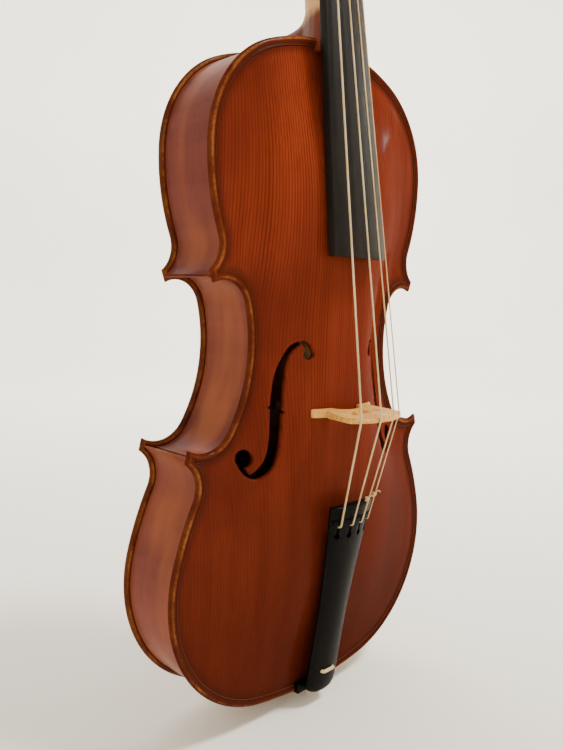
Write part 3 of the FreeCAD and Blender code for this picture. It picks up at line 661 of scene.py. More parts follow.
def rim_wear(s, base, wood, dark):
    """Worn golden bead along a plate's edge, with the channel beside it darkened partly by painted shade and
    partly by a real darker tone gathered there.
    """
    rim = s.attribute("rim")
    patchy = s.noise((1, 1, 1), 4.0, 0.6, 48.0)
    fine = s.noise((1, 1, 1), 3.0, 0.6, 420.0)
    # partly painted shade in the channel's hollow, partly a real darker tone gathered there
    channel = s.remap(rim, 11.0, 5.0, 0.0, 0.62)
    shaded = s.mix(channel, base, dark)
    inner = s.remap(rim, 2.5, 1.7)
    outer = s.remap(rim, 0.5, 1.3, 0.25, 1.0)
    worn = s.math("MULTIPLY", inner, outer)
    amount = s.math("MULTIPLY", worn, s.remap(patchy, 0.36, 0.66, 0.1, 0.95))
    flecks = s.math("MULTIPLY", amount, s.remap(fine, 0.33, 0.6, 0.45, 1.0))
    return s.mix(flecks, shaded, wood)


def spruce_varnish():
    """Red-brown oil varnish over straight-grained spruce."""
    s = Shader("belly_varnish", roughness=0.42, coat=0.06, coat_roughness=0.1, specular=0.0)
    axes = s.separate()
    sway = s.noise((14, 14, 1.1))
    drift = s.noise((60, 60, 0.6), 2.0)
    x = s.math("MULTIPLY_ADD", sway, 0.006, axes[0])
    x = s.math("MULTIPLY_ADD", drift, 0.0032, x)
    # wider rings in the outer parts of the plate than near the middle
    side = s.math("MULTIPLY", s.math("ABSOLUTE", axes[0]), -1.2)
    rate = s.math("ADD", side, 3.25)
    phase = s.math("MULTIPLY", s.math("MULTIPLY", x, rate), 1000.0)
    wave = s.math("MULTIPLY_ADD", s.math("SINE", phase), 0.5, 0.5)
    line = s.math("POWER", wave, 3.0)
    strength = s.remap(s.noise((130, 130, 1.4), 2.0), 0.3, 0.7, 0.55, 1.0)
    line = s.math("MULTIPLY", line, strength)
    fibre = s.noise((900, 900, 9), 4.0, 0.65)
    cloud = s.noise((6, 6, 4), 4.0, 0.55)
    streak = s.noise((70, 70, 1.6), 3.0, 0.6)
    pale = s.tint(colour(126, 49, 26), cloud, 0.3, 0.7, 1.0, colour(99, 34, 19))
    pale = s.tint(pale, streak, 0.35, 0.7, 0.55, colour(90, 29, 13))
    depth = s.remap(axes[2], 0.12, 0.30, 0.42, 0.75)
    wood = s.mix(s.math("MULTIPLY", line, depth), pale, colour(54, 16, 8))
    wood = s.tint(wood, fibre, 0.35, 0.75, 0.35, colour(80, 24, 8))
    smudge = s.noise((11, 11, 8))
    wood = s.tint(wood, smudge, 0.48, 0.72, 0.5, colour(70, 22, 10))
    # painted shade: the belly darkens towards its lower end, where less light falls
    low = s.remap(axes[2], 0.27, 0.02, 0.0, 0.72)
    wood = s.mix(low, wood, colour(48, 16, 7))
    s.paint(rim_wear(s, wood, colour(132, 78, 38), colour(54, 17, 10)))
    height = s.math("MULTIPLY_ADD", line, -0.6, s.math("MULTIPLY", fibre, 0.5))
    peel = s.noise((1, 1, 1), 2.0, 0.5, 380.0)
    height = s.math("MULTIPLY_ADD", peel, 0.35, height)
    s.bump(height, 0.22, 0.0004)
    return s.material


def maple_varnish(name, along, pale, deep, dark, edge, flame):
    """Varnished flamed maple; along lists the axes in which the stripes follow each other."""
    s = Shader(name, roughness=0.4, coat=0.07, coat_roughness=0.12, specular=0.03)
    scale = [4.0, 4.0, 4.0]
    for axis in along:
        scale[axis] = 75.0
    bands = s.noise(tuple(scale), 3.0, 0.55)
    wide = [v * 0.3 for v in scale]
    slow = s.noise(tuple(wide), 2.0)
    curl = s.remap(s.math("MULTIPLY_ADD", slow, 0.5, s.math("MULTIPLY", bands, 0.6)), 0.42, 0.68, 0.0, 1.0)
    cloud = s.noise((5, 5, 5), 4.0, 0.55)
    fibre = s.noise((700, 700, 14), 4.0, 0.65)
    body = s.mix(s.remap(cloud, 0.3, 0.7), pale, deep)
    body = s.mix(s.math("MULTIPLY", curl, flame), body, dark)
    body = s.tint(body, fibre, 0.45, 0.8, 0.4, dark)
    if edge:
        body = rim_wear(s, body, colour(140, 84, 38), colour(52, 18, 8))
    else:
        # painted highlight: soft warm bands standing in for the reflections along the curved ribs
        painted_sheen = s.noise((36, 42, 2.6), 2.0, 0.45)
        body = s.tint(body, painted_sheen, 0.40, 0.68, 0.55, colour(154, 86, 50))
    s.paint(body)
    height = s.math("MULTIPLY_ADD", fibre, 0.5, s.math("MULTIPLY", bands, 0.3))
    s.bump(height, 0.14, 0.0004)
    return s.material


def neck_maple():
    """Bare maple on the shaft, stained and varnished on the heel and head."""
    s = Shader("neck_maple", roughness=0.46, coat=0.04, coat_roughness=0.2, specular=0.1)
    axes = s.separate()
    ragged = s.noise((90, 90, 40), 4.0, 0.6)
    z = s.math("MULTIPLY_ADD", ragged, 0.016, axes[2])
    low = s.remap(z, 0.4415, 0.4335)
    high = s.remap(z, 0.568, 0.580)
    stain = s.math("MAXIMUM", low, high)
    fibre = s.noise((520, 520, 16), 4.0, 0.65)
    flame = s.noise((10, 10, 120))
    cloud = s.noise((18, 18, 9), 3.0, 0.55)
    bare = s.tint(colour(214, 176, 124), cloud, 0.3, 0.7, 1.0, colour(190, 146, 94))
    bare = s.tint(bare, fibre, 0.45, 0.8, 0.55, colour(150, 106, 64))
    bare = s.tint(bare, flame, 0.45, 0.7, 0.22, colour(160, 116, 72))
    red = s.tint(colour(118, 56, 30), cloud, 0.3, 0.7, 1.0, colour(92, 38, 22))
    red = s.tint(red, flame, 0.42, 0.68, 0.5, colour(86, 36, 22))
    red = s.tint(red, fibre, 0.45, 0.8, 0.4, colour(74, 30, 20))
    s.paint(s.mix(stain, bare, red))
    s.bump(fibre, 0.16, 0.0003)
    return s.material


def raw_wood(name, pale, dark, stretch):
    """Bare wood inside the body."""
    s = Shader(name, roughness=0.62)
    grain = s.noise(stretch, 4.0, 0.6)
    cloud = s.noise((22, 22, 22))
    wood = s.tint(pale, grain, 0.3, 0.75, 1.0, dark)
    wood = s.tint(wood, cloud, 0.35, 0.7, 0.3, dark)
    s.paint(wood)
    s.bump(grain, 0.2, 0.0004)
    return s.material


def ebony(name, base, pore, roughness, specular, coat):
    """Dense black wood with fine long pores."""
    s = Shader(name, roughness=roughness, coat=coat, coat_roughness=0.1, specular=specular)
    pores = s.noise((1100, 1100, 26), 4.0, 0.7)
    streak = s.noise((120, 120, 5), 3.0, 0.55)
    wood = s.mix(s.remap(streak, 0.35, 0.7), base, pore)
    wood = s.tint(wood, pores, 0.5, 0.72, 0.5, colour(12, 10, 9))
    s.paint(wood)
    rough = s.remap(pores, 0.3, 0.7, roughness, roughness + 0.16)
    s.feed(s.bsdf.inputs["Roughness"], rough)
    s.bump(pores, 0.12, 0.0003)
    return s.material


def bridge_maple():
    """Pale maple with short dark rays on its face."""
    s = Shader("bridge_maple", roughness=0.55, specular=0.25)
    fibre = s.noise((26, 900, 900), 4.0, 0.6)
    rays = s.noise((330, 900, 900), 2.0)
    cloud = s.noise((60, 60, 60))
    wood = s.tint(colour(228, 170, 82), cloud, 0.3, 0.7, 1.0, colour(200, 140, 58))
    wood = s.tint(wood, fibre, 0.4, 0.75, 0.45, colour(176, 128, 72))
    wood = s.tint(wood, rays, 0.59, 0.66, 0.8, colour(112, 66, 26))
    s.paint(wood)
    s.bump(fibre, 0.15, 0.0003)
    return s.material


def gut(name, pale, deep):
    """Twisted gut: fine slanting strands, a soft shine."""
    s = Shader(name, roughness=0.38, coat=0.3, coat_roughness=0.25)
    axes = s.separate()
    strands = s.noise((900, 900, 60), 2.0)
    tone = s.noise((40, 40, 30))
    body = s.mix(s.remap(tone, 0.3, 0.7), pale, deep)
    body = s.tint(body, strands, 0.45, 0.75, 0.4, colour(150, 110, 64))
    s.paint(body)
    rings = s.math("SINE", s.math("MULTIPLY", axes[2], 5200.0))
    s.bump(s.math("MULTIPLY_ADD", strands, 0.8, s.math("MULTIPLY", rings, 0.2)), 0.3, 0.0003)
    s.bsdf.inputs["Subsurface Weight"].default_value = 0.12
    s.bsdf.inputs["Subsurface Radius"].default_value = (0.0012, 0.0008, 0.0004)
    return s.material


def inlay_material():
    """Black, pale and black strips of the purfling, told apart by distance from the edge."""
    s = Shader("purfling_strips", roughness=0.4, coat=0.04, coat_roughness=0.15, specular=0.02)
    rim = s.attribute("rim")
    fibre = s.noise((500, 500, 500))
    black = s.mix(fibre, colour(20, 8, 4), colour(32, 12, 6))
    light = s.mix(fibre, colour(104, 48, 14), colour(80, 34, 10))
    inner = s.remap(rim, PURFLING[1] - 0.03, PURFLING[1] + 0.03)
    outer = s.remap(rim, PURFLING[2] + 0.03, PURFLING[2] - 0.03)
    s.paint(s.mix(s.math("MULTIPLY", inner, outer), black, light))
    s.bump(fibre, 0.1, 0.0003)
    return s.material


MAT_BELLY = spruce_varnish()
MAT_BACK = maple_varnish("back_varnish", (2,), colour(116, 45, 15), colour(92, 33, 11), colour(60, 19, 8),
                         edge=True, flame=0.6)
MAT_RIB = maple_varnish("rib_varnish", (0, 2), colour(116, 60, 49), colour(94, 46, 41), colour(70, 32, 29),
                        edge=False, flame=0.35)
MAT_NECK = neck_maple()
MAT_INLAY = inlay_material()
MAT_EBONY = ebony("ebony_board", colour(28, 23, 19), colour(18, 14, 12), 0.42, 0.1, 0.04)
MAT_FITTING = ebony("ebony_fittings", colour(9, 7, 6), colour(5, 4, 4), 0.3, 0.02, 0.08)
MAT_SPRUCE = raw_wood("bare_spruce", colour(206, 168, 112), colour(170, 126, 76), (420, 420, 12))
MAT_WILLOW = raw_wood("bare_willow", colour(198, 160, 112), colour(160, 118, 76), (300, 300, 14))
MAT_BRIDGE = bridge_maple()
MAT_GUT_THICK = gut("gut_overspun", colour(204, 182, 140), colour(176, 146, 98))
MAT_GUT = gut("gut_plain", colour(212, 184, 132), colour(186, 148, 92))


def assign(names, material):
    for name in names:
        node = NODES[name]
        if not node.material_slots:
            node.data.materials.append(material)
        for slot in node.material_slots:
            slot.material = material


def stand_for(obj, node, body, material):
    """Finish a piece: its material, its body and the CAD node it replaces."""
    obj.data.materials.clear()
    obj.data.materials.append(material)
    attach(obj, body)
    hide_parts(node)
    return obj


# ---- plates, ribs and inner parts -----------------------------------------------------
HOLE_TREBLE = sound_hole(0.8)
HOLE_BASS = (HOLE_TREBLE * FLIP)[::-1]

belly, belly_inlay = make_plate(-1, BELLY_ARCH, [HOLE_TREBLE, HOLE_BASS])
stand_for(belly, "belly", ROOT, MAT_BELLY)
stand_for(belly_inlay, "purfling_front", ROOT, MAT_INLAY)
back, back_inlay = make_plate(1, BACK_ARCH, [])


def button_shell():
    """Rounded tab of the back under the heel."""
    rings = []
    for inset, height in ((0.9, 0.0), (0.2, 0.5), (0.0, 1.2), (0.0, 2.8), (0.4, 3.7), (1.2, 4.0)):
        r, y = 11.5 - inset, BACK_Y + height
        arc = [math.pi * k / 48 for k in range(49)]
        ring = [(r * math.cos(a), y, TOP_Z + 1 + r * math.sin(a)) for a in arc]
        rings.append(ring + [(-r, y, TOP_Z - 4.5), (r, y, TOP_Z - 4.5)])
    return loft(rings)


def join(target, other):
    """Add another object's mesh to the target's."""
    bm = bmesh.new()
    bm.from_mesh(target.data)
    bm.from_mesh(other.data)
    bm.to_mesh(target.data)
    bm.free()
    remove(other)
    smooth_shade(target)


button = merge_parts("back_tab", [button_shell()])
add_rim(button, [20.0] * len(button.data.vertices))
join(back, button)
stand_for(back, "back", ROOT, MAT_BACK)
stand_for(back_inlay, "purfling_back", ROOT, MAT_INLAY)

assign([n for n in NODES if "_rib_" in n], MAT_RIB)
assign([n for n in NODES if "block" in n or "linings" in n], MAT_WILLOW)
assign(["bass_bar", "sound_post"], MAT_SPRUCE)


# ---- neck and head --------------------------------------------------------------------
def neck_line(z):
    """Plane between neck and fingerboard."""
    return FRONT_Y - EDGE - 3.9 + NECK_SLOPE * (z - TOP_Z)


def board_width(z):
    return 25.0 + 22.0 * (NUT_Z - z) / FINGERBOARD_LENGTH


def head_point(x, along, forward):
    """Point of the head, given along the tilted pegbox and forward of it."""
    y0 = neck_line(NUT_Z) - 1.0
    y = y0 + along * math.sin(HEAD_TILT) - forward * math.cos(HEAD_TILT)
    z = NUT_Z + 5 + along * math.cos(HEAD_TILT) + forward * math.sin(HEAD_TILT)
    return (x, y, z)


def shaft_ring(z, half, depth):
    """D-shaped section of the neck."""
    flat, roundness = 2.6, 2 / 2.25
    y0 = neck_line(z) + 0.05
    ring = [(x, y0, z) for x in (-half, -half * 0.5, half * 0.5, half)]
    steps = 22
    for k in range(steps + 1):
        a = math.pi * k / steps
        y = y0 + flat + (depth - flat) * abs(math.sin(a)) ** roundness
        ring.append((half * power(math.cos(a), roundness), y, z))
    return ring


def heel_ring(y, half, top, root):
    """Horizontal slice of the heel, seen from behind: straight sides and a round top."""
    shoulder = (root + top) / 2 - half * 0.3
    ring = [(half, y, root), (half, y, shoulder)]
    steps = 18
    rise = min(half, (top - root) * 0.7)
    for k in range(steps + 1):
        a = math.pi * k / steps
        ring.append((half * power(math.cos(a), 0.9), y, top - rise + rise * abs(math.sin(a)) ** 0.9))
    return ring + [(-half, y, shoulder), (-half, y, root)]


def u_ring(along, outer, inner, back, floor):
    """Section of the pegbox: two cheeks and a floor, rounded behind."""
    r = 3.4
    cheek = [(-outer, 0.0), (-outer, -back + r)]
    for k in range(1, 6):
        a = math.pi / 2 * k / 6
        cheek.append((-outer + r - r * math.cos(a), -back + r - r * math.sin(a)))
    cheek.append((-outer * 0.4, -back - 0.3))
    pts = cheek + [(0, -back + 0.2)] + mirrored(cheek)
    pts += [(inner, 0.0), (inner - 0.6, -floor), (-inner + 0.6, -floor), (-inner, 0.0)]
    return [head_point(x, along, f) for x, f in pts]


def solid_ring(along, half, front, back):
    """Solid section of the head with soft corners."""
    mid, deep = (front + back) / 2, (front - back) / 2
    return [head_point(half * power(c, 0.45), along, mid + deep * power(s, 0.45)) for c, s in circle(28)]


VOLUTE_TURNS = 2.72
VOLUTE_START = 22.6
VOLUTE_DECAY = 0.535
VOLUTE_POLE = (1.2, 1.4)


def volute_radius(turn):
    return VOLUTE_START * math.exp(-VOLUTE_DECAY * turn)


def volute_half(turn):
    """Half width of the scroll, which grows towards its eyes."""
    return float(np.interp(turn, [0, 0.3, 0.6, 1.0, 1.5, 2.0, 2.4, 2.8],
                           [7.6, 6.0, 6.4, 9.0, 12.4, 15.6, 18.0, 19.8]))


def volute_point(x, r, c, s):
    """Point of the scroll, at a radius and direction from the volute's pole."""
    return head_point(x, SCROLL_ALONG + VOLUTE_POLE[1] + r * s, SCROLL_FORWARD + VOLUTE_POLE[0] + r * c)


def volute_section(turn):
    """Cross-section of the scroll's band: fluted back, hollowed sides."""
    r0, r1 = volute_radius(turn), volute_radius(turn + 1)
    w = volute_half(turn)
    span = r0 - r1
    dip = min(1.5, 0.16 * span)
    groove = 0.8 if turn < 1.05 else 0.0
    side = [(r0 - 0.1, w - 0.9), (r0 - 0.8, w - 0.05), (r0 - 1.6, w - 0.25), (r0 - span * 0.45, w - dip),
            (r0 - span * 0.8, w - dip * 1.1), (r1 - 1.2, w - dip * 0.8)]
    profile = [(r0 - groove, w * 0.5), (r0 - 0.05, 0), (r0 - groove, -w * 0.5)]
    profile += [(r, -x) for r, x in side]
    profile += [(r, x) for r, x in reversed(side)]
    return profile


def volute_shell():
    rings = []
    steps = 150
    for k in range(steps + 1):
        turn = VOLUTE_TURNS * k / steps
        a = math.pi - 2 * math.pi * turn
        rings.append([volute_point(x, r, math.cos(a), math.sin(a)) for r, x in volute_section(turn)])
    return loft(rings)


def eye_shell():
    """Round button in the middle of both volutes."""
    radius = volute_radius(VOLUTE_TURNS) + 0.6
    ends = ((-20.3, 0.45), (-19.9, 0.8), (-18.6, 1.0), (18.6, 1.0), (19.9, 0.8), (20.3, 0.45))
    return loft([[volute_point(x, radius * scale, c, s) for c, s in circle(28)] for x, scale in ends])


# height and depth of the shaft's sections
SHAFT = ((432, 20.5), (440, 20.6), (450, 20.8), (470, 20.6), (500, 20.0), (530, 19.4), (556, 19.0),
         (564, 19.2))
# depth, half width and top of the heel's slices
HEEL = ((-27.2, 17.6, 452.0), (-22.0, 17.2, 452.0), (-16.0, 15.6, 451.0), (-11.5, 13.9, 446.5),
        (-8.6, 12.8, 439.5), (-6.0, 12.3, 435.2), (-3.0, 12.1, 432.4), (1.0, 11.9, 430.6),
        (6.0, 11.7, 429.4), (12.0, 11.5, 428.7), (20.0, 11.3, 428.3))
# place along the head, half width, front and back of the throat's sections
THROAT = ((71.5, 10.9, 0.0, -18.2), (76, 10.4, -0.2, -17.9), (80, 9.9, -1.4, -17.9), (84, 9.3, -4.2, -18.1),
          (88, 8.7, -7.0, -18.4), (93, 8.2, -8.8, -18.7), (98, 7.6, -9.6, -18.9))


def neck_shells():
    """Overlapping shells of shaft, heel, pegbox, throat and scroll."""
    shaft = [shaft_ring(z, board_width(min(z, NUT_Z)) / 2 - 0.5, depth) for z, depth in SHAFT]
    shaft.append(shaft_ring(568.5, 12.3, 20.0))
    heel = [heel_ring(*slice_at, TOP_Z - 8.8) for slice_at in HEEL]
    cheeks = []
    for t in np.linspace(0, 1, 12):
        outer = 12.7 - 1.2 * t ** 1.6 - 1.6 * max(0.0, t - 0.7)
        bulge = math.sin(math.pi * t)
        back = 19.4 - 0.4 * bulge - 1.0 * t
        cheeks.append(u_ring(3.5 + 69.5 * t, outer, 7.5 - 2.2 * t, back, 13.4 + 1.2 * bulge))
    foot = [solid_ring(a, 12.6, 0.0, -19.4) for a in (-5.0, 0.0, 4.6)]
    throat = [solid_ring(*section) for section in THROAT]
    return [loft(rings) for rings in (shaft, heel, cheeks, foot, throat)] + [volute_shell(), eye_shell()]


neck = merge_parts("neck_carved", neck_shells())
weld(neck, 0.62, 4)
stand_for(neck, "neck", ROOT, MAT_NECK)


# ---- fingerboard, nut, saddle ---------------------------------------------------------
def arc_drop(radius, x):
    """How far an arc of a radius falls away at a distance from its top."""
    return radius - math.sqrt(radius ** 2 - x * x)


def board_ring(z, hollow):
    """Section of the fingerboard with softly broken edges."""
    half = board_width(z) / 2
    under = neck_line(z)
    edge = under - FINGERBOARD_SIDE
    crest = edge - arc_drop(FINGERBOARD_RADIUS, half)
    soft = 0.7
    side = [(-half + soft * 0.4, under), (-half, under - soft), (-half, edge + soft)]
    across = [(-half + 0.25) + (2 * half - 0.5) * k / 24 for k in range(25)]
    ring = side + [(x, crest + arc_drop(FINGERBOARD_RADIUS, x)) for x in across] + mirrored(side)
    for k in range(1, 8):
        t = k / 8
        ring.append((half * 0.86 * (1 - 2 * t), under - hollow * math.sin(math.pi * t)))
    return [(x, y, z) for x, y in ring]


def fingerboard_shell():
    """Fingerboard, hollowed underneath where it stands clear of the neck."""
    end = NUT_Z - FINGERBOARD_LENGTH
    rings = []
    for z, hollow, shrink in ((end, 3.4, 0.965), (end + 0.5, 3.5, 1.0), (end + 6, 3.5, 1.0),
                              (TOP_Z - 30, 3.0, 1.0), (TOP_Z + 8, 0.0, 1.0), (TOP_Z + 60, 0.0, 1.0),
                              (NUT_Z, 0.0, 1.0)):
        ring = board_ring(z, hollow)
        mid = neck_line(z) - 4.0
        rings.append([(x * (0.5 + shrink / 2), mid + (y - mid) * shrink, zz) for x, y, zz in ring])
    dense = []
    for a, b in zip(rings, rings[1:]):
        steps = max(1, int(abs(b[0][2] - a[0][2]) / 8))
        for k in range(steps):
            t = k / steps
            dense.append([tuple(np.array(p) * (1 - t) + np.array(q) * t) for p, q in zip(a, b)])
    dense.append(rings[-1])
    return loft(dense)


fingerboard = merge_parts("fingerboard_shaped", [fingerboard_shell()])
mark_smooth(fingerboard, 40)
stand_for(fingerboard, "fingerboard", ROOT, MAT_EBONY)


def softened(node, name, width, hard=None):
    """Copy of a small ebony CAD part with its edges rounded over; edges sharper than hard stay hard."""
    mesh = NODES[node].data.copy()
    mesh.name = name
    obj = bpy.data.objects.new(name, mesh)
    bpy.context.scene.collection.objects.link(obj)
    bm = bmesh.new()
    bm.from_mesh(mesh)
    bmesh.ops.remove_doubles(bm, verts=bm.verts, dist=1e-6)
    bmesh.ops.dissolve_limit(bm, angle_limit=math.radians(2), verts=bm.verts, edges=bm.edges)
    bm.to_mesh(mesh)
    bm.free()
    bevel_edges(obj, width, 3, 32)
    smooth_shade(obj)
    if hard:
        mark_smooth(obj, hard)
    stand_for(obj, node, ROOT, MAT_FITTING)


softened("nut", "nut_rounded", 0.35, 40)
softened("saddle", "saddle_rounded", 0.6, 40)


# ---- bridge ---------------------------------------------------------------------------
def crown_y(x):
    """Top of the bridge, where the strings lie."""
    return arc_drop(BRIDGE_CROWN_RADIUS, x) - STRING_HEIGHT_AT_BRIDGE


def bridge_outline():
    """Closed contour of the bridge in x and y, with its cut-outs."""
    knee = FRONT_Y - BELLY_ARCH
    half = BRIDGE_WIDTH / 2
    crown_half = STRING_SPREAD_BRIDGE / 2 + 4.2

    def belly_y(x):
        return FRONT_Y - float(arch_height(np.array([abs(x)]), np.array([BRIDGE_Z]), BELLY_ARCH)[0])

    under = catmull([(0, knee - 7.3), (4.6, knee - 6.8), (8.0, knee - 5.1), (10.6, knee - 3.2),
                     (12.0, knee - 1.2)], 0.6)
    foot = [(x, belly_y(x) + 0.05) for x in np.linspace(12.2, half, 14)]
    toe = catmull([(half + 0.05, belly_y(half) - 0.8), (half - 1.4, belly_y(half - 1.6) - 2.0),
                   (half - 4.8, knee - 1.9), (20.4, knee - 2.5), (19.2, knee - 3.4), (20.6, knee - 4.6),
                   (21.4, knee - 8.2), (22.4, knee - 13.0), (23.4, knee - 18.0),
                   (crown_half, crown_y(crown_half) + 2.2)], 0.6)
    crown = [(x, crown_y(x)) for x in np.linspace(crown_half, 0, 32)]
    right = np.vstack([under, foot, toe, crown[:-1]])
    left = (right * FLIP)[::-1]
    outline = np.vstack([right, [crown[-1]], left[:-1]])
    heart = catmull([(0, knee - 11.4), (2.6, knee - 13.6), (3.6, knee - 16.4), (2.0, knee - 18.2),
                     (0, knee - 16.9), (-2.0, knee - 18.2), (-3.6, knee - 16.4), (-2.6, knee - 13.6)],
                    0.5, True)
    kidney = catmull([(9.2, knee - 14.0), (12.6, knee - 15.0), (14.9, knee - 17.8), (13.4, knee - 19.6),
                      (10.6, knee - 18.6), (8.6, knee - 16.4)], 0.5, True)
    return outline, [heart, kidney, (kidney * FLIP)[::-1]]


def make_bridge():
    outline, holes = bridge_outline()
    way = ring_normals(outline) * (1 if signed_area(outline) > 0 else -1)
    inner = outline + way * 0.45
    inner = inner[distance_to(inner, outline) > 0.4]
    points, faces = fill_region(outline, [outline, inner], hex_grid(outline, 1.1, 1.0), holes, (0.4,), 0.9)
    foot_y = FRONT_Y - BELLY_ARCH + 2
    rise = np.clip((foot_y - points[:, 1]) / (foot_y + STRING_HEIGHT_AT_BRIDGE), 0, 1)
    round_off = 0.35 * np.clip(1 - distance_to(points, outline) / 0.45, 0, 1)
    for hole in holes:
        round_off = np.maximum(round_off, 0.3 * np.clip(1 - distance_to(points, hole) / 0.4, 0, 1))
    thick = BRIDGE_FOOT_THICK - BRIDGE_TAPER * rise ** 0.9
    front = BRIDGE_REAR_Z + thick - round_off
    rear = BRIDGE_REAR_Z + round_off

    def place(p, height):
        return np.stack([p[:, 0], p[:, 1], height], 1)

    bridge = recalc(new_object("bridge_carved", *shell(points, faces, front, rear, place)))
    mark_smooth(bridge, 50)
    return bridge


stand_for(make_bridge(), "bridge", ROOT, MAT_BRIDGE)


# ---- tailpiece ------------------------------------------------------------------------
def tail_width(along):
    t = along / TAILPIECE_LENGTH
    flare = (TAIL_TOP_WIDTH - TAIL_END_WIDTH) * (1 - t) ** 2.6
    return TAIL_END_WIDTH + flare - TAIL_WAIST * math.sin(math.pi * t) ** 2


def tail_frame(x, along):
    """Point on the tailpiece's front surface; along runs down from its top end."""
    t = along / TAILPIECE_LENGTH
    sag = 4.8 * (1 - 0.35 * t) * (x / (tail_width(along) / 2)) ** 2
    y = -57.5 + 23.1 * t + sag
    return (x, y, BRIDGE_Z - TAIL_BELOW_BRIDGE - TAILPIECE_LENGTH * 0.985 * t)


def tail_ring(along, shrink, lift):
    """Section of the tailpiece, its edges rounded; shrink and lift close the ends."""
    half = tail_width(along) / 2 * shrink
    ring = []
    depth = 7.8 - 3.2 * along / TAILPIECE_LENGTH
    for k in range(21):
        u = -1 + 2 * k / 20
        x, y, z = tail_frame(half * u, along)
        ring.append((x, y + 1.1 * max(0.0, abs(u) - 0.86) / 0.14 + lift))
    low = tail_frame(0, along)[1] + depth - lift * 0.6
    edge = tail_frame(half, along)[1] + 2.2 + lift
    side = [(half - 0.1, edge), (half - 1.1, low - 0.4), (half - 2.2, low)]
    return [(x, y, z) for x, y in ring + side + [(0, low)] + mirrored(side)]


def cutter(name, x, y, z, radius, slot):
    """Round hole through the tailpiece, with a narrow slot above it."""
    def drill(profile):
        return loft([[(x + u, yy, z + v) for u, v in profile] for yy in (y - 12, y + 14)])

    cut = [merge_parts(name, [drill([(radius * c, radius * s) for c, s in circle(24)])])]
    if slot:
        w = 0.85
        cut.append(merge_parts(name + "_slot", [drill([(-w, 0), (w, 0), (w, slot), (-w, slot)])]))
    return cut


def subtract(obj, cutters):
    for tool in cutters:
        cut = obj.modifiers.new("cut", "BOOLEAN")
        cut.operation = "DIFFERENCE"
        cut.solver = "EXACT"
        cut.object = tool
    bake(obj)
    for tool in cutters:
        remove(tool)


def make_tailpiece():
    """Tailpiece with its key holes, slots and the two holes for the tail gut."""
    low = TAILPIECE_LENGTH
    rings = [tail_ring(*end) for end in ((0.0, 0.955, 1.4), (0.35, 0.985, 0.6), (1.0, 1.0, 0.1))]
    rings += [tail_ring(along, 1.0, 0.0) for along in np.linspace(2, low - 7, 40)]
    for k in range(1, 9):
        a = math.pi / 2 * k / 8
        shrink = max(0.30, math.cos(a) ** 0.62)
        rings.append(tail_ring(low - 7 + 7 * math.sin(a), shrink, 1.1 * (1 - math.cos(a))))
    tail = merge_parts("tailpiece_turned", [loft(rings)])
    cutters = []
    for index in range(4):
        x, y, z = tail_frame(TAIL_SPREAD * (index / 3 - 0.5), TAIL_SLOT_ALONG)
        cutters += cutter(f"key_{index}", x, y, z - 7.0, 1.9, 7.8)
    for side in (-5.0, 5.0):
        x, y, z = tail_frame(side, TAIL_GUT_ALONG)
        cutters += cutter(f"gut_hole_{x}", x, y, z, 1.5, 0)
    subtract(tail, cutters)
    bevel_edges(tail, 0.25, 2, 50)
    mark_smooth(tail, 35)
    return tail


stand_for(make_tailpiece(), "tailpiece", ROOT, MAT_FITTING)
softened("tailpiece_fret", "fret_rounded", 0.3)
softened("end_button", "end_button_turned", 0.7, 50)


# ---- pegs, windings, strings ----------------------------------------------------------
def peg_shells(along, side):
    """Turned shank and collar, heart-shaped thumb piece, small pin."""
    _, cy, cz = head_point(0, along, PEG_DEPTH)
    profile = [(-15.6, 0.0), (-15.6, 2.6), (-15.1, 3.35), (17.5, 4.25), (17.6, 5.0), (18.1, 5.6), (19.3, 5.6),
               (19.9, 5.0), (20.2, 4.4), (21.6, 3.6), (23.2, 3.1), (25.6, 2.9), (26.0, 0.0)]

    def disc(x, r, count):
        return [(side * x, cy + r * c, cz + r * s) for c, s in circle(count)]

    tilt = math.radians(20)
    layers = []
    for level in np.linspace(-1, 1, 15):
        scale = max(0.12, 1 - abs(level) ** 3.2)
        ring = []
        for c, s in circle(56):
            shape = 1 + 0.08 * (c * c - s * s) - 0.06 * c
            u = 10.6 * shape * scale ** 0.5 * c
            v = 9.3 * shape * scale ** 0.5 * s
            thick = 3.3 * level * (0.72 + 0.28 * min(1.0, (u * u / 110 + v * v / 84) ** 0.5 * 1.3))
            y = v * math.sin(tilt) + thick * math.cos(tilt)
            z = v * math.cos(tilt) - thick * math.sin(tilt)
            ring.append((side * (33.0 + u), cy + y, cz + z))
        layers.append(ring)
    pin = []
    for k in range(9):
        a = math.pi * (k / 8 - 0.5)
        pin.append(disc(44.4 + 1.7 * math.sin(a), max(0.03, 1.7 * math.cos(a)), 16))
    return [loft([disc(x, max(r, 0.02), 32) for x, r in profile]), loft(layers), loft(pin)]


def winding_shell(along, centre_x, radius):
    """Turns of string round a peg."""
    _, cy, cz = head_point(0, along, PEG_DEPTH)
    pitch = 2 * radius * 1.03
    rings = []
    steps = int(TURNS_ON_PEG * 26)
    ring_r = PEG_RADIUS + radius
    for k in range(steps + 1):
        a = 2 * math.pi * TURNS_ON_PEG * k / steps
        x = centre_x + pitch * (k / steps - 0.5) * TURNS_ON_PEG
        ring = []
        for c, s in circle(10):
            r = ring_r + radius * c
            ring.append((x + radius * s, cy + r * math.cos(a), cz + r * math.sin(a)))
        rings.append(ring)
    return loft(rings)


for index, name in enumerate("cgda"):
    along, side = PEG_PLACES[name]
    body = "peg_" + name
    peg = merge_parts(body + "_turned", peg_shells(along, side))
    mark_smooth(peg, 48)
    stand_for(peg, body, body, MAT_FITTING)
    x = -5.0 + 10.0 * index / 3
    wound = merge_parts("turns_" + name, [winding_shell(along, x, STRING_RADIUS[name])])
    thick = name == "c"
    stand_for(wound, "string_winding_" + name, body, MAT_GUT_THICK if thick else MAT_GUT)

assign(["string_c", "string_g"], MAT_GUT_THICK)
assign(["string_d", "string_a", "tail_gut"], MAT_GUT)


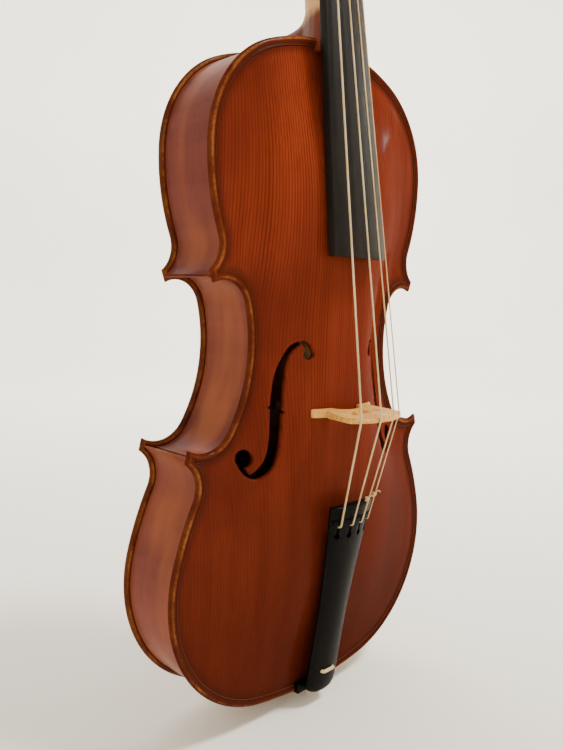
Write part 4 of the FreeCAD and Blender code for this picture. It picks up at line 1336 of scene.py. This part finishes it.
def knot_shell(centre, radius, turns, spread):
    """Small ball of string: a few crossing turns round its own neck."""
    rings = []
    steps = 40 * turns
    for k in range(steps + 1):
        a = 2 * math.pi * turns * k / steps
        lean = 0.9 * math.sin(a / turns * 2)
        reach = spread * (1 + 0.18 * math.sin(a * 1.7))
        x = centre[0] + reach * math.cos(a)
        y = centre[1] + reach * 0.8 * math.sin(a)
        z = centre[2] + spread * 0.75 * math.sin(a * 0.61 + lean)
        out = Vector((math.cos(a), math.sin(a), 0))
        ring = []
        for c, s in circle(8):
            p = out * (radius * c)
            ring.append((x + p.x, y + p.y, z + radius * s))
        rings.append(ring)
    return loft(rings)


def tail_end_shell(centre, radius, way):
    """Short curled end left over beside a knot."""
    path = catmull([(0, 0, 0), (way * 1.2, -1.0, 1.6), (way * 3.0, -1.6, 1.9), (way * 4.2, -1.5, 0.6)], 0.25)
    rings = []
    for k, p in enumerate(path):
        r = radius * (1.0 if k < len(path) - 1 else 0.7)
        ahead = path[min(k + 1, len(path) - 1)] - path[max(k - 1, 0)]
        frame_turn = Vector(ahead).to_track_quat("Z", "Y")
        ring = []
        for c, s in circle(8):
            q = frame_turn @ Vector((r * c, r * s, 0))
            ring.append((centre[0] + p[0] + q.x, centre[1] + p[1] + q.y, centre[2] + p[2] + q.z))
        rings.append(ring)
    return loft(rings)


def string_axis(index, up):
    """Point on a string's straight run between tailpiece and bridge; up is the height over its slot."""
    spread = index / 3 - 0.5
    x0, y0, z0 = tail_frame(TAIL_SPREAD * spread, 0)
    x1 = STRING_SPREAD_BRIDGE * spread
    y1 = crown_y(x1)
    t = up / (BRIDGE_Z - z0)
    return x0 + (x1 - x0) * t, y0 - 1.6 + (y1 - y0 + 1.6) * t, z0 + up


# the two plain strings are knotted just above the tailpiece
for index, name, up in ((2, "d", 3.2), (3, "a", 4.4)):
    radius = STRING_RADIUS[name]
    place = string_axis(index, up)
    knot = merge_parts("string_knot_" + name, [
        knot_shell(place, radius, 4, 1.15), tail_end_shell(place, radius * 0.8, 1.0),
        tail_end_shell((place[0], place[1], place[2] - 0.8), radius * 0.8, -0.6)])
    knot.data.materials.append(MAT_GUT)
    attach(knot, ROOT)


# ---- light and floor ------------------------------------------------------------------
def area_light(name, place, target, size, power, tint=(1, 1, 1)):
    data = bpy.data.lights.new(name, "AREA")
    data.shape = "RECTANGLE"
    data.size, data.size_y = size
    data.energy = power
    data.color = tint
    lamp = bpy.data.objects.new(name, data)
    lamp.location = place
    lamp.rotation_mode = "QUATERNION"
    lamp.rotation_quaternion = (Vector(target) - Vector(place)).to_track_quat("-Z", "Y")
    bpy.context.scene.collection.objects.link(lamp)


def make_room():
    """Pale floor that curves up all round into a low wall."""
    rings = []
    floor_z = CAD_BOX[0].z / MM - 1.5
    radius = 2600.0
    bend = 900.0
    stations = [(1.0, 0.0), (400.0, 0.0), (1000.0, 0.0), (radius - bend, 0.0)]
    for k in range(1, 15):
        a = math.pi / 2 * k / 14
        stations.append((radius - bend + bend * math.sin(a), bend * (1 - math.cos(a))))
    stations.append((radius, 2300.0))
    for r, h in stations:
        rings.append([(r * c, r * s, floor_z + h) for c, s in circle(72)])
    verts, faces = loft(rings, caps=False)
    faces.append(tuple(range(72))[::-1])
    room = recalc(new_object("floor", verts, faces))
    s = Shader("pale_floor", roughness=0.9, specular=0.2)
    soft = s.noise((1.3, 1.3, 1.3))
    fine = s.noise((160, 160, 160), 2.0)
    s.paint(s.tint(colour(246, 241, 230), soft, 0.3, 0.7, 1.0, colour(240, 235, 223)))
    s.bump(fine, 0.05, 0.0005)
    room.data.materials.append(s.material)


def make_light():
    world = bpy.data.worlds.new("world")
    bpy.context.scene.world = world
    world.use_nodes = True
    background = world.node_tree.nodes["Background"]
    background.inputs[0].default_value = (0.93, 0.95, 1.0, 1.0)
    background.inputs[1].default_value = 0.42
    area_light("key", (0.9, -1.05, 2.3), (0, 0, 0.28), (0.55, 0.55), 76, (1.0, 0.98, 0.94))
    area_light("fill", (-1.7, -0.5, 1.1), (0, 0, 0.25), (1.4, 1.4), 9.5, (1, 0.97, 0.93))
    area_light("glint", (1.9, -0.45, 1.2), (0, 0, 0.36), (0.05, 0.16), 4.5)
    area_light("rim", (0.2, 1.7, 1.3), (0, 0, 0.3), (1.2, 1.0), 6.5)
    area_light("backdrop", (0.7, 0.7, 1.7), (1.9, 1.9, 0.2), (1.6, 0.8), 78, (1, 0.99, 0.96))


make_room()
make_light()
